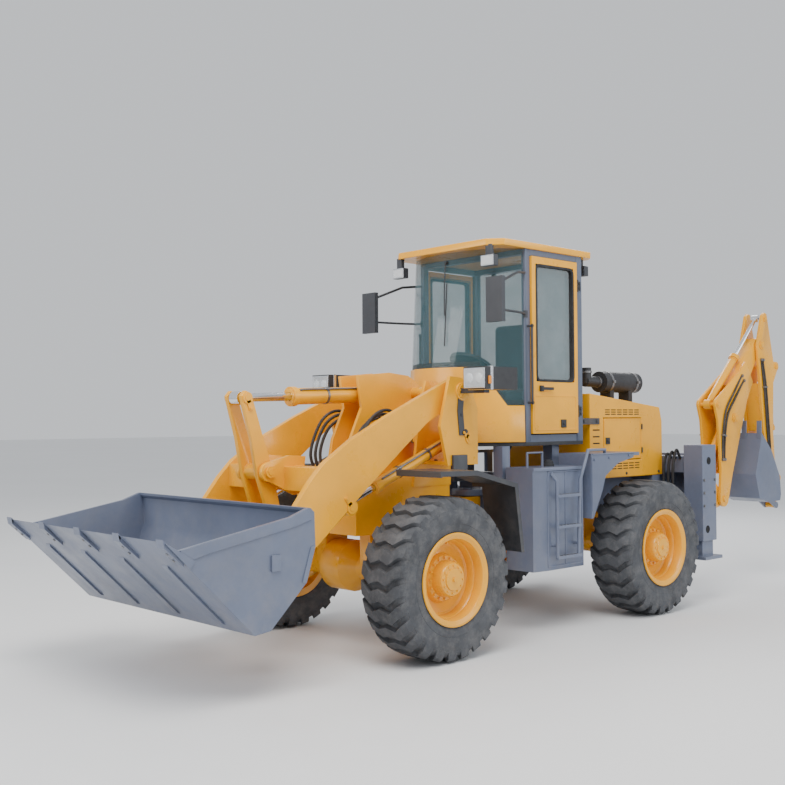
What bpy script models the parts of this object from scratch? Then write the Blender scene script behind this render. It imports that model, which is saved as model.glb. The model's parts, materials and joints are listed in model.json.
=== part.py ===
"""Articulated backhoe loader, built as separate solids on their joints.

Metres, +Z up, +X forward.  Every piece is placed in the machine frame, whose
zero is on the ground under the front axle; the frame itself stands FRONT_AXLE_X
ahead of the origin, which is the bottom centre of the whole machine.
Left is +Y.  Pieces that move hang from an empty on their joint's axis.
"""
import math

import bmesh
import bpy
from mathutils import Matrix, Vector

# ---------------------------------------------------------------- driving sizes
FRONT_AXLE_X = 1.6515      # front axle ahead of the origin
WHEELBASE = 2.65
GAP = 0.0003               # between pieces that touch
RUN = 0.006                # between pieces that move past each other
FIT = 0.0008               # pin in its bore, on the radius

TYRE_R = 0.588
TYRE_W = 0.41
WHEEL_Y = 0.915            # middle of the tyre
BEAD_R = 0.305
TYRE_SIDES = 36
RIM_SIDES = 24
AXLE_R = 0.10
REAR_AXLE_X = -WHEELBASE

HINGE_X = -1.30            # articulation pin
HINGE_R = 0.05

BOX_W = 0.355              # half width of the front frame's box
BOX_TOP = 1.28
TOWER_IN = (0.34, 0.37)    # inner tower plate, |Y|
TOWER_OUT = (0.62, 0.65)   # outer tower plate, |Y|
ARM_Y = (0.53, 0.58)       # loader arm plate, |Y|
LIFT_Y = 0.47              # lift cylinder's plane, |Y|

ARM_PIVOT = (-0.56, 1.94)  # X, Z
LIFT_BASE = (-0.64, 1.575)
LIFT_PIN = (0.515, 1.10)
CRANK_PIVOT = (0.93, 1.355)
CRANK_TOP = (1.085, 1.888)
CRANK_LOW = (0.72, 0.86)
LINK_END = (1.13, 0.95)
BUCKET_PIVOT = (1.14, 0.62)
BUCKET_W = 1.055           # half width of the loader bucket
PLATE = 0.025              # bucket plate

CAB_W = 0.64               # half width over the doors
CAB_BASE = (1.50, 1.53)
DOOR_X = (-2.05, -1.43)
DOOR_Z = (1.60, 3.10)
DOOR_T = 0.04
ROOF_X = (-2.325, -0.996)
ROOF_W = 0.6365
ROOF_Z = (3.15, 3.205)

CHASSIS_W = 0.34
CHASSIS_Z = (0.86, 1.16)
CHASSIS_REAR = -3.50
TANK_TOP = 1.33
TANK_W = 0.90
LADDER_Y = 0.97
FENDER_W = 0.96
FENDER_TOP = 1.43

HOOD_W = 0.58
HOOD_WALL = 0.02
HOOD_FLOOR = 1.18
HOOD_DOOR_X = (-3.10, -2.50)
HOOD_DOOR_Z = (1.34, 1.73)

LEG_X = (-3.66, -3.42)
LEG_Y = (0.83, 1.03)
LEG_Z = (0.57, 1.47)
LEG_WALL = 0.02
FOOT_Z = 0.40
RAIL_X = (-3.68, -3.51)
RAIL_UP = (1.20, 1.36)
RAIL_LOW = (0.66, 0.82)

SHIFT_Y = 0.60             # the backhoe stands off the middle, to the left
SWING_X = -4.00
BOOM_FOOT = (-4.37, 0.90)
BOOM_BASE = (-4.135, 1.13)  # boom cylinder's base pin
BOOM_PIN = (-4.59, 1.72)   # boom cylinder's rod pin
BOOM_TIP = (-5.17, 2.50)
BOOM_PLATE = (0.08, 0.11)  # boom and dipper side plates, off their middle
TIP_W = 0.07
DIP_BASE = (-4.27, 1.86)   # dipper cylinder
DIP_PIN = (-5.25, 2.79)
DIG_PIVOT = (-5.40, 0.92)
CROWD_BASE = (-5.49, 2.28)  # bucket cylinder
ROCKER_PIVOT = (-5.36, 1.24)
ROCKER_END = (-5.60, 1.06)
PUSH_END = (-5.529, 0.767)
DIG_W = 0.20               # half width of the digging bucket


# ---------------------------------------------------------------- scene and frames
for old in list(bpy.data.objects):
    bpy.data.objects.remove(old, do_unlink=True)

MACHINE = bpy.data.collections.new("backhoe_loader")
TOOLS = bpy.data.collections.new("cutters")
bpy.context.scene.collection.children.link(MACHINE)
bpy.context.scene.collection.children.link(TOOLS)
PLACES = {}                # joint empties and where they stand in the machine frame


def joint(name, place, parent=None):
    """An empty on a joint's axis, standing at place in the machine frame."""
    empty = bpy.data.objects.new("joint_" + name, None)
    MACHINE.objects.link(empty)
    place = Vector(place)
    if parent:
        empty.parent = PLACES[parent][0]
        empty.location = place - PLACES[parent][1]
    else:
        empty.location = place + Vector((FRONT_AXLE_X, 0, 0))
    PLACES[name] = (empty, place)
    return empty


def xz(point, y=0.0):
    return (point[0], y, point[1])


def material(name, colour, roughness, metallic=0.0):
    made = bpy.data.materials.new(name)
    made.use_nodes = True
    shader = made.node_tree.nodes["Principled BSDF"]
    shader.inputs["Base Color"].default_value = (*colour, 1.0)
    shader.inputs["Roughness"].default_value = roughness
    shader.inputs["Metallic"].default_value = metallic
    made.diffuse_color = (*colour, 1.0)
    return made


FINISHES = {               # colour, roughness, metallic
    "yellow": ((0.86, 0.47, 0.07), 0.38, 0.0),
    "grey": ((0.26, 0.29, 0.38), 0.45, 0.0),
    "black": ((0.03, 0.03, 0.035), 0.55, 0.0),
    "rubber": ((0.045, 0.047, 0.05), 0.85, 0.0),
    "chrome": ((0.80, 0.80, 0.82), 0.12, 1.0),
    "glass": ((0.55, 0.72, 0.76), 0.05, 0.0),
    "iron": ((0.12, 0.12, 0.13), 0.60, 0.4),
    "cloth": ((0.05, 0.05, 0.06), 0.80, 0.0),
}


# ---------------------------------------------------------------- shape makers
def tool(mesh):
    """Wrap a mesh as a hidden working solid in the machine frame."""
    obj = bpy.data.objects.new("shape", mesh)
    TOOLS.objects.link(obj)
    obj.parent = PLACES["machine"][0]
    obj.hide_render = True
    obj.display_type = 'WIRE'
    return obj


def closed(bm):
    """Finish a bmesh as a closed solid with its faces outward."""
    bmesh.ops.remove_doubles(bm, verts=bm.verts, dist=0.00001)
    bmesh.ops.recalc_face_normals(bm, faces=bm.faces)
    mesh = bpy.data.meshes.new("shape")
    bm.to_mesh(mesh)
    bm.free()
    return mesh


def box(x, y, z):
    """A box between the two values of each range."""
    bm = bmesh.new()
    size = [abs(r[1] - r[0]) for r in (x, y, z)]
    middle = [(r[1] + r[0]) / 2 for r in (x, y, z)]
    bmesh.ops.create_cube(bm, size=1.0)
    bmesh.ops.scale(bm, vec=size, verts=bm.verts)
    bmesh.ops.translate(bm, vec=middle, verts=bm.verts)
    return tool(closed(bm))


def rod(start, end, radius, sides=16, radius_end=None):
    """A cylinder or cone between two points."""
    start, end = Vector(start), Vector(end)
    bm = bmesh.new()
    bmesh.ops.create_cone(bm, cap_ends=True, segments=sides, radius1=radius,
                          radius2=radius if radius_end is None else radius_end,
                          depth=(end - start).length)
    turn = (end - start).to_track_quat('Z', 'Y').to_matrix().to_4x4()
    bm.transform(Matrix.Translation((start + end) / 2) @ turn)
    return tool(closed(bm))


def cross(point, y, radius, sides=16):
    """A pin or bore across the machine, at an X, Z point, over a range of Y."""
    return rod((point[0], y[0], point[1]), (point[0], y[1], point[1]), radius, sides)


def outline(points, low, high, axes):
    """A flat outline made solid from low to high along the third axis."""
    curve = bpy.data.curves.new("outline", 'CURVE')
    curve.dimensions = '2D'
    curve.fill_mode = 'BOTH'
    curve.extrude = abs(high - low) / 2
    spline = curve.splines.new('POLY')
    spline.points.add(len(points) - 1)
    for slot, (a, b) in zip(spline.points, points):
        slot.co = (a, b, 0, 1)
    spline.use_cyclic_u = True
    drawn = bpy.data.objects.new("outline", curve)
    TOOLS.objects.link(drawn)
    mesh = bpy.data.meshes.new_from_object(
        drawn.evaluated_get(bpy.context.evaluated_depsgraph_get()))
    bpy.data.objects.remove(drawn)
    bm = bmesh.new()
    bm.from_mesh(mesh)
    middle = (low + high) / 2
    place = {"XZ": lambda v: (v.x, v.z + middle, v.y),
             "XY": lambda v: (v.x, v.y, v.z + middle),
             "YZ": lambda v: (v.z + middle, v.x, v.y)}[axes]
    for vert in bm.verts:
        vert.co = place(vert.co)
    return tool(closed(bm))


def plate(points, y):
    """An X, Z outline standing upright, over a range of Y."""
    return outline(points, y[0], y[1], "XZ")


def slab(points, z):
    """An X, Y outline lying flat, over a range of Z."""
    return outline(points, z[0], z[1], "XY")


def sheet(points, y, thickness):
    """A bent X, Z line widened over Y and thickened to its right-hand side."""
    bm = bmesh.new()
    rows = [[bm.verts.new((px, side, pz)) for px, pz in points] for side in y]
    for i in range(len(points) - 1):
        bm.faces.new((rows[0][i], rows[0][i + 1], rows[1][i + 1], rows[1][i]))
    return thicken(bm, thickness)


def strip(lower, upper, thickness):
    """A surface between two lines of points, thickened."""
    bm = bmesh.new()
    low = [bm.verts.new(p) for p in lower]
    high = [bm.verts.new(p) for p in upper]
    for i in range(len(low) - 1):
        bm.faces.new((low[i], low[i + 1], high[i + 1], high[i]))
    return thicken(bm, thickness)


def thicken(bm, thickness):
    mesh = bpy.data.meshes.new("surface")
    bm.to_mesh(mesh)
    bm.free()
    skin = tool(mesh)
    solidify = skin.modifiers.new("thickness", 'SOLIDIFY')
    solidify.thickness = thickness
    solidify.offset = -1
    solidify.use_even_offset = True
    return settled(skin)


def settled(obj):
    """Replace an object by its evaluated mesh, closed and facing out."""
    bm = bmesh.new()
    bm.from_mesh(bpy.data.meshes.new_from_object(
        obj.evaluated_get(bpy.context.evaluated_depsgraph_get())))
    bpy.data.objects.remove(obj)
    return tool(closed(bm))


def turned(profile, middle, sides):
    """An r, y profile turned about a cross axis; it is closed unless it starts at r = 0."""
    bm = bmesh.new()
    verts = [bm.verts.new((r, 0, y)) for r, y in profile]
    for one, other in zip(verts, verts[1:]):
        bm.edges.new((one, other))
    if profile[0][0] > 0:
        bm.edges.new((verts[-1], verts[0]))
    mesh = bpy.data.meshes.new("profile")
    bm.to_mesh(mesh)
    bm.free()
    drawn = tool(mesh)
    screw = drawn.modifiers.new("turn", 'SCREW')
    screw.steps = screw.render_steps = sides
    screw.use_merge_vertices = True
    screw.merge_threshold = 0.00001
    drawn = settled(drawn)
    half = math.pi / sides
    turn = Matrix.Rotation(-math.pi / 2, 4, 'X') @ Matrix.Rotation(half, 4, 'Z')
    drawn.data.transform(Matrix.Translation(middle) @ turn)
    return drawn


def tube(points, radius, resolution=2):
    """A round tube along points, as a closed mesh."""
    curve = bpy.data.curves.new("tube", 'CURVE')
    curve.dimensions = '3D'
    curve.bevel_depth = radius
    curve.bevel_resolution = resolution
    curve.use_fill_caps = True
    spline = curve.splines.new('POLY')
    spline.points.add(len(points) - 1)
    for slot, point in zip(spline.points, points):
        slot.co = (*point, 1)
    drawn = bpy.data.objects.new("tube", curve)
    TOOLS.objects.link(drawn)
    return settled(drawn)


def arc(centre, radius, start, end, steps):
    """Points on an arc about centre, from one angle to another, in degrees."""
    turns = [math.radians(start + (end - start) * i / steps) for i in range(steps + 1)]
    return [(centre[0] + radius * math.cos(t), centre[1] + radius * math.sin(t))
            for t in turns]


def both(side, y):
    """A range of |Y| on one side of the machine, low value first."""
    return tuple(sorted((side * y[0], side * y[1])))


def about(y):
    """A range off the backhoe's middle, on its left and on its right."""
    return ((SHIFT_Y - y[1], SHIFT_Y - y[0]), (SHIFT_Y + y[0], SHIFT_Y + y[1]))


def toward(start, end, distance):
    """The X, Z point at a distance from start on the line to end."""
    start, end = Vector(start), Vector(end)
    return tuple(start + (end - start).normalized() * distance)


def part(name, base, finish, body, add=(), cut=(), hollow=()):
    """Name a solid, hollow, join and cut it, paint it and hang it from its joint."""
    TOOLS.objects.unlink(base)
    MACHINE.objects.link(base)
    base.name = name
    base.data.name = name
    base.hide_render = False
    base.display_type = 'TEXTURED'
    for step_name, operation, others in (('hollow', 'DIFFERENCE', hollow),
                                         ('join', 'UNION', add), ('cut', 'DIFFERENCE', cut)):
        if not others:
            continue
        group = bpy.data.collections.new(f"{name}_{step_name}")
        TOOLS.children.link(group)
        for other in others:
            TOOLS.objects.unlink(other)
            group.objects.link(other)
        step = base.modifiers.new(step_name, 'BOOLEAN')
        step.operation = operation
        step.solver = 'EXACT'
        step.operand_type = 'COLLECTION'
        step.collection = group
    if add or cut:
        seam = base.modifiers.new("seam", 'WELD')
        seam.merge_threshold = 0.00002
    base.data.materials.clear()
    base.data.materials.append(material(f"{name}_{finish}", *FINISHES[finish]))
    empty, place = PLACES[body]
    base.parent = empty
    base.matrix_parent_inverse = Matrix.Translation(-place)
    base.data.shade_smooth()
    base.data.set_sharp_from_angle(angle=math.radians(35))
    return base


SIDES = (("left", 1), ("right", -1))

# ---------------------------------------------------------------- joints
joint("machine", (0, 0, 0))
for axle, x, parent in (("front", 0.0, "articulation"), ("rear", REAR_AXLE_X, "machine")):
    if axle == "front":
        joint("articulation", (HINGE_X, 0, CHASSIS_Z[0]), "machine")
    for hand, side in SIDES:
        joint(f"wheel_{axle}_{hand}", (x, side * WHEEL_Y, TYRE_R), parent)
joint("lift", xz(ARM_PIVOT), "articulation")
joint("crank", xz(CRANK_PIVOT), "lift")
joint("link", xz(CRANK_LOW), "crank")
joint("bucket", xz(BUCKET_PIVOT), "lift")
joint("tilt_barrel", xz(ARM_PIVOT), "articulation")
joint("tilt_rod", xz(CRANK_TOP), "tilt_barrel")
for hand, side in SIDES:
    joint(f"lift_barrel_{hand}", xz(LIFT_BASE, side * LIFT_Y), "articulation")
    joint(f"lift_rod_{hand}", xz(LIFT_PIN, side * LIFT_Y), f"lift_barrel_{hand}")
    joint(f"door_{hand}", (DOOR_X[0] - 0.005, side * (CAB_W + 0.005), DOOR_Z[0]), "machine")
    joint(f"hood_door_{hand}", (HOOD_DOOR_X[0] - 0.005, side * (HOOD_W + 0.005),
                                HOOD_DOOR_Z[0]), "machine")
    joint(f"stabilizer_{hand}", (sum(LEG_X) / 2, side * sum(LEG_Y) / 2, FOOT_Z), "machine")
joint("carriage", (RAIL_X[0], SHIFT_Y, sum(CHASSIS_Z) / 2), "machine")
joint("swing", (SWING_X, SHIFT_Y, BOOM_FOOT[1]), "carriage")
for name, place, parent in (
        ("boom", BOOM_FOOT, "swing"), ("boom_barrel", BOOM_BASE, "swing"),
        ("boom_rod", BOOM_PIN, "boom_barrel"), ("dipper", BOOM_TIP, "boom"),
        ("dipper_barrel", DIP_BASE, "boom"), ("dipper_rod", DIP_PIN, "dipper_barrel"),
        ("dig", DIG_PIVOT, "dipper"), ("crowd_barrel", CROWD_BASE, "dipper"),
        ("crowd_rod", ROCKER_END, "crowd_barrel"), ("rocker", ROCKER_PIVOT, "dipper"),
        ("push", ROCKER_END, "rocker")):
    joint(name, xz(place, SHIFT_Y), parent)


# ---------------------------------------------------------------- shared pieces
def boss(point, y, radius, sides=20):
    return cross(point, y, radius, sides)


def round_end(point, radius, start, end, steps=6):
    """The points of an outline that turns round a pin."""
    return arc(point, radius, start, end, steps)


def offset(points, distance):
    """An open X, Z line moved to its left by a distance."""
    moved = []
    for i, point in enumerate(points):
        here = Vector(point)
        sides = []
        for one, other in ((i - 1, i), (i, i + 1)):
            if one >= 0 and other < len(points):
                way = (Vector(points[other]) - Vector(points[one])).normalized()
                sides.append(Vector((-way.y, way.x)))
        normal = sum(sides, Vector((0, 0))).normalized()
        moved.append(tuple(here + normal * distance / normal.dot(sides[0])))
    return moved


def ram(name, base, pin, y, radius, rod_radius, gland, tail, bodies, base_pin, eye_half):
    """A cylinder between two pins: its barrel with a bore, and its sliding rod.

    gland and tail are the distances of the barrel's mouth and the rod's inner
    end from the base pin; base_pin is that pin's radius.
    """
    def at(distance, end=pin):
        return xz(toward(base, end, distance), y)

    bore = (rod_radius + GAP) / math.cos(math.pi / 16)
    length = (Vector(pin) - Vector(base)).length
    eye = (y - eye_half, y + eye_half)
    clear = max(eye_half, radius) + 0.01
    part(f"{name}_barrel", rod(at(0.03), at(gland), radius), "yellow", bodies[0],
         add=[boss(base, eye, base_pin + 0.028)],
         cut=[rod(at(radius + 0.045), at(gland + 0.05), bore),
              boss(base, (y - clear, y + clear), base_pin + FIT)])
    part(f"{name}_rod", rod(at(tail), at(length - 0.01), rod_radius), "chrome", bodies[1],
         add=[boss(pin, eye, rod_radius + 0.018)],
         cut=[boss(pin, (eye[0] - 0.01, eye[1] + 0.01), rod_radius * 0.6)])


# ---------------------------------------------------------------- wheels and axles
def wheels():
    tread = TYRE_R / math.cos(math.pi / TYRE_SIDES)
    half = TYRE_W / 2
    seat = BEAD_R * math.cos(math.pi / TYRE_SIDES) - GAP
    lip = BEAD_R + 0.03
    tyre_profile = [(BEAD_R, -half + 0.04), (BEAD_R + 0.055, -half + 0.01),
                    (TYRE_R - 0.13, -half), (TYRE_R - 0.045, -half + 0.02),
                    (tread, -half + 0.07), (tread, half - 0.07),
                    (TYRE_R - 0.045, half - 0.02), (TYRE_R - 0.13, half),
                    (BEAD_R + 0.055, half - 0.01), (BEAD_R, half - 0.04)]
    for axle, x in (("front", 0.0), ("rear", REAR_AXLE_X)):
        for hand, side in SIDES:
            rim_profile = [(0, -half), (0.12, -half), (0.12, 0.0), (0.268, 0.0),
                           (seat - 0.018, 0.01 - half), (lip, 0.005 - half),
                           (lip, 0.017 - half), (seat, 0.03 - half), (seat, half - 0.03),
                           (lip, half - 0.017), (lip, half - 0.005),
                           (seat - 0.018, half - 0.01), (0.27, 0.04), (0.18, 0.035),
                           (0.165, 0.075), (0.125, 0.085), (0.12, 0.16), (0.085, 0.18),
                           (0, 0.18)]
            middle = (x, side * WHEEL_Y, TYRE_R)
            body = f"wheel_{axle}_{hand}"
            part(f"tyre_{axle}_{hand}", turned(tyre_profile, middle, TYRE_SIDES),
                 "rubber", body)
            part(f"rim_{axle}_{hand}",
                 turned([(r, side * y) for r, y in rim_profile], middle, RIM_SIDES),
                 "yellow", body)


def axle(name, x, body):
    end = WHEEL_Y - TYRE_W / 2 - GAP
    half = [(0.10, 0.54), (0.17, 0.60), (0.17, 0.66), (0.12, end), (0, end)]
    profile = [(r, -y) for r, y in reversed(half)]
    profile += [(0.10, -0.28), (0.20, -0.18), (0.20, 0.04), (0.10, 0.14)] + half
    pads = [box((x - 0.11, x + 0.11), both(side, (0.20, 0.32)),
                (TYRE_R + 0.02, CHASSIS_Z[0] - GAP)) for _, side in SIDES]
    part(name, turned(profile, (x, 0, TYRE_R), 24), "yellow", body, add=pads)


# ---------------------------------------------------------------- front frame
KNUCKLE_Z = (CHASSIS_Z[0] + 0.04, CHASSIS_Z[1] - 0.10)
FORK_T = 0.054


def front_frame():
    low, high = KNUCKLE_Z
    knuckle = slab(round_end((HINGE_X, 0), 0.12, 90, 270, 10)
                   + [(-0.70, -0.12), (-0.70, 0.12)], (low, high))
    outer = [(-0.74, 1.37), (-0.74, 1.81), (-0.66, 1.99), (-0.56, 2.05), (-0.43, 2.06),
             (-0.37, 1.85), (-0.32, 1.67), (-0.40, 1.37)]
    inner = [(-0.72, 1.20), (-0.72, 1.81), (-0.64, 1.99), (-0.56, 2.03), (-0.45, 2.03),
             (-0.38, 1.85), (-0.30, 1.20)]
    middle = [(-0.70, 1.21), (-0.70, 1.80), (-0.64, 2.00), (-0.49, 2.08), (-0.28, 2.10),
              (0.05, 2.07), (0.01, 1.82), (0.13, 1.57), (0.20, 1.21)]
    add = [knuckle]
    for _, side in SIDES:
        add += [plate(outer, both(side, TOWER_OUT)), plate(inner, both(side, TOWER_IN)),
                plate(middle, both(side, (0.09, 0.12))),
                box((-0.70, -0.43), both(side, (0.345, 0.64)), (1.372, 1.40)),
                boss(LIFT_BASE, both(side, (0.355, 0.635)), 0.03),
                boss(ARM_PIVOT, both(side, (0.63, 0.665)), 0.07),
                box((-0.58, -0.52), both(side, (0.64, 0.92)), (1.925, 1.965)),
                box((-0.78, -0.42), both(side, (0.80, 1.03)), (1.95, 2.12)),
                box((-0.66, -0.36), both(side, (0.10, 0.35)), (1.55, 1.58))]
    add.append(boss(ARM_PIVOT, (-0.64, 0.64), 0.045))
    part("front_chassis", box((-0.72, 0.28), (-BOX_W, BOX_W), (CHASSIS_Z[0], BOX_TOP)),
         "yellow", "articulation", add=add,
         cut=[rod((HINGE_X, 0, low - 0.02), (HINGE_X, 0, high + 0.02), HINGE_R, 20)])
    for hand, side in SIDES:
        top = [(0.16, 1.36), (-0.22, 1.355), (-0.67, 1.24), (-0.74, 0.72)]
        back = offset(top, 0.014)
        bracket = box((-0.60, -0.44), both(side, (TOWER_OUT[1] + GAP, 0.67)), (1.25, 1.45))
        shape = plate(top + back[::-1], both(side, (0.66, 1.12)))
        notch = box((-0.80, -0.60), both(side, (0.60, 0.76)), (0.60, 1.20))
        part(f"front_fender_{hand}", shape, "black", "articulation", add=[bracket],
             cut=[notch])


# ---------------------------------------------------------------- loader
def loader():
    low_end = round_end(BUCKET_PIVOT, 0.10, 40, -150, 9)
    arm = [(-0.52, 2.045), (0.17, 1.75), (0.52, 1.58), (0.77, 1.42), (0.89, 1.30),
           (1.05, 1.10), (1.17, 0.80)] + low_end + [
           (0.94, 0.78), (0.82, 0.86), (0.56, 1.07), (0.39, 1.21), (0.03, 1.49),
           (-0.25, 1.70), (-0.43, 1.79)]
    arm += round_end(ARM_PIVOT, 0.11, 260, 80, 9)
    left, right = (both(side, ARM_Y) for _, side in SIDES)
    bracket = [(0.60, 1.46), (0.75, 1.47)] + round_end(CRANK_PIVOT, 0.07, 70, -90, 8) + [
        (0.70, 1.18), (0.64, 1.20)]
    add = [plate(arm, right), box((0.60, 0.80), (-0.54, 0.54), (1.22, 1.39)),
           boss(CRANK_PIVOT, (-0.175, 0.175), 0.03)]
    cut = []
    for _, side in SIDES:
        add += [plate(bracket, both(side, (0.125, 0.16))),
                boss(LIFT_PIN, both(side, (0.505, 0.579)), 0.06)]
        cut += [boss(ARM_PIVOT, both(side, (0.50, 0.61)), 0.045 + FIT),
                boss(BUCKET_PIVOT, both(side, (0.50, 0.61)), 0.04 + FIT)]
    part("loader_arms", plate(arm, left), "yellow", "lift", add=add, cut=cut)

    crank = [(1.135, 1.90), (1.10, 1.94), (1.05, 1.92), (0.955, 1.63), (0.865, 1.38),
             (0.80, 1.10), (0.675, 0.875), (0.70, 0.81), (0.76, 0.81), (0.90, 1.05),
             (1.00, 1.33), (1.05, 1.60)]
    part("bellcrank", plate(crank, (0.07, 0.11)), "yellow", "crank",
         add=[plate(crank, (-0.11, -0.07)), boss(CRANK_PIVOT, (-0.105, 0.105), 0.06),
              boss(CRANK_LOW, (-0.12, 0.12), 0.025)],
         cut=[boss(CRANK_PIVOT, (-0.2, 0.2), 0.03 + FIT)])
    link = [toward(CRANK_LOW, LINK_END, 0.02), toward(CRANK_LOW, LINK_END, 0.40)]
    part("bucket_link", rod(xz(link[0]), xz(link[1]), 0.035), "yellow", "link",
         add=[boss(CRANK_LOW, (-0.045, 0.045), 0.05), boss(LINK_END, (-0.045, 0.045), 0.05)],
         cut=[boss(CRANK_LOW, (-0.06, 0.06), 0.025 + FIT),
              boss(LINK_END, (-0.06, 0.06), 0.025)])

    shell = [(1.270, 1.172), (1.238, 1.143), (1.231, 0.934), (1.305, 0.702), (1.58, 0.44),
             (1.70, 0.425), (2.329, 1.041)]
    edge = [(2.232, 0.985), (2.051, 1.015), (1.429, 1.124), (1.295, 1.172)]
    inside = offset(shell, PLATE)
    cavity = inside + [(2.45, 1.21), (2.45, 1.50), (1.30, 1.50)]
    tooth = [(2.19, 0.885), (2.325, 1.005), (2.335, 1.055), (2.20, 0.93)]
    ear = round_end(BUCKET_PIVOT, 0.075, 110, 270, 8) + [(1.42, 0.602), (1.315, 0.71),
                                                         (1.255, 0.90)]
    link_ear = round_end(LINK_END, 0.055, 90, 270, 8) + [(1.24, 0.86), (1.245, 1.06)]
    add = [plate(tooth, (y - 0.04, y + 0.04))
           for y in [(BUCKET_W - 0.04) * (i / 2 - 1) for i in range(5)]]
    for _, side in SIDES:
        add += [plate(ear, both(side, (0.485, 0.522))), plate(ear, both(side, (0.588, 0.625))),
                boss(BUCKET_PIVOT, both(side, (0.490, 0.635)), 0.04),
                plate(link_ear, both(side, (0.058, 0.085)))]
    part("loader_bucket", plate(shell + edge, (-BUCKET_W, BUCKET_W)), "grey", "bucket",
         add=add, hollow=[plate(cavity, (PLATE - BUCKET_W, BUCKET_W - PLATE))])
    ram("tilt", ARM_PIVOT, CRANK_TOP, 0.0, 0.0625, 0.032, 1.19, 0.66,
        ("tilt_barrel", "tilt_rod"), 0.045, 0.05)
    for hand, side in SIDES:
        ram(f"lift_{hand}", LIFT_BASE, LIFT_PIN, side * LIFT_Y, 0.045, 0.027, 0.92, 0.30,
            (f"lift_barrel_{hand}", f"lift_rod_{hand}"), 0.03, 0.028)


# ---------------------------------------------------------------- rear frame
def rear_frame():
    rail = box((CHASSIS_REAR + GAP, -1.76), (-CHASSIS_W, CHASSIS_W), CHASSIS_Z)
    fork = round_end((HINGE_X, 0), 0.13, 90, -90, 10) + [(-1.80, -0.14), (-1.80, 0.14)]
    low, high = KNUCKLE_Z
    add = [slab(fork, (high + RUN, high + RUN + FORK_T)),
           slab(fork, (low - RUN - FORK_T, low - RUN)),
           rod((HINGE_X, 0, low - RUN - FORK_T - 0.01),
               (HINGE_X, 0, high + RUN + FORK_T + 0.01), HINGE_R - FIT, 20),
           box((-1.90, -1.79), (-0.55, 0.55), (1.05, 1.24))]
    for _, side in SIDES:
        add += [box((-1.85, -1.14), both(side, (0.44, 0.56)), (1.15, 1.245)),
                box((-1.24, -1.145), both(side, (0.45, 0.55)), (1.20, CAB_BASE[0] - GAP)),
                box((-1.89, -1.795), both(side, (0.45, 0.549)), (1.20, CAB_BASE[0] - GAP)),
                box((-1.62, -1.50), both(side, (0.45, TANK_IN - GAP)), (1.155, 1.235)),
                box((-2.36, -2.24), both(side, (0.30, TANK_IN + 0.05)), (1.08, 1.152)),
                box((-2.48, -2.37), both(side, (0.30, HOOD_W)), (1.05, HOOD_FLOOR - GAP)),
                box((-3.40, -3.28), both(side, (0.30, HOOD_W)), (1.05, HOOD_FLOOR - GAP))]
    part("rear_chassis", rail, "grey", "machine", add=add)
    part("engine_block", box((-3.25, -2.50), (-0.29, 0.29), (CHASSIS_Z[1] + GAP, 1.66)),
         "iron", "machine")
    for hand, side in SIDES:
        tank_and_steps(hand, side)


TANK_IN = 0.60


def tank_and_steps(hand, side):
    plan = [(-1.76, TANK_IN), (-1.13, TANK_IN), (-1.13, TANK_W - 0.02), (-1.28, TANK_W),
            (-1.76, TANK_W)]
    plan = [(x, side * y) for x, y in plan]
    lid = [(x, y + side * (0.012 if abs(y) > TANK_IN else 0)) for x, y in plan]
    skirt = [(-1.80, 0.89), (-1.83, 0.90), (-1.95, 1.11), (-2.00, 1.24), (-2.18, 1.34),
             (-2.41, 1.385), (-2.42, FENDER_TOP), (-1.80, FENDER_TOP)]
    y = side * (LADDER_Y - 0.015)
    near = side * (TANK_W - 0.02)
    front = [(-1.345, y, 0.60), (-1.345, y, 1.22), (-1.345, near, 1.30)]
    back = [(-1.62, y, 0.60), (-1.65, y, 1.22), (-1.76, y, 1.46), (-2.03, side * 0.93, 1.46),
            (-2.04, side * 0.92, 1.41)]
    add = [slab(lid, (TANK_TOP - 0.025, TANK_TOP)),
           box((-1.85, -1.75), both(side, (0.63, TANK_W - 0.03)), (0.95, 1.28)),
           box((-1.825, -1.80), both(side, (0.62, FENDER_W)), (0.89, FENDER_TOP - 0.003)),
           box((-2.50, -1.801), both(side, (0.62, FENDER_W - 0.002)),
               (FENDER_TOP - 0.03, FENDER_TOP - 0.001)),
           plate(skirt, both(side, (FENDER_W - 0.015, FENDER_W))),
           box((-2.34, -2.26), both(side, (0.62, 0.66)), (1.152 + GAP, FENDER_TOP - 0.01)),
           tube(front, 0.015), tube(back, 0.015),
           tube([(-1.16, side * 0.80, TANK_TOP - 0.01), (-1.16, side * 0.80, 1.45),
                 (-1.35, side * 0.80, 1.45), (-1.35, side * 0.80, TANK_TOP - 0.01)], 0.011)]
    for z in (1.10, 0.85, 0.605):
        add.append(box((-1.65, -1.34), both(side, (LADDER_Y - 0.03, LADDER_Y)),
                       (z - 0.012, z + 0.012)))
    for x in (-1.345, -1.63):
        add.append(rod((x, near, 0.70), (x, y, 0.70), 0.012, 10))
    part(f"side_tank_{hand}", slab(plan, (0.50, TANK_TOP - 0.001)), "grey", "machine",
         add=add)


# ---------------------------------------------------------------- cab
GLASS_LOW = [(-1.369, 0.595, 1.84), (-1.24, 0.52, 1.84), (-1.04, 0.39, 2.16),
             (-0.93, 0.22, 2.16), (-0.89, 0.0, 2.16)]
GLASS_TOP = [(-1.369, 0.595), (-1.30, 0.555), (-1.20, 0.495), (-1.11, 0.28), (-1.075, 0.0)]
COWL_LOW = [(-1.369, 0.60), (-1.22, 0.53), (-1.00, 0.40), (-0.88, 0.24), (-0.84, 0.0)]


def mirrored(points):
    return points + [(p[0], -p[1], *p[2:]) for p in points[-2::-1]]


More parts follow.
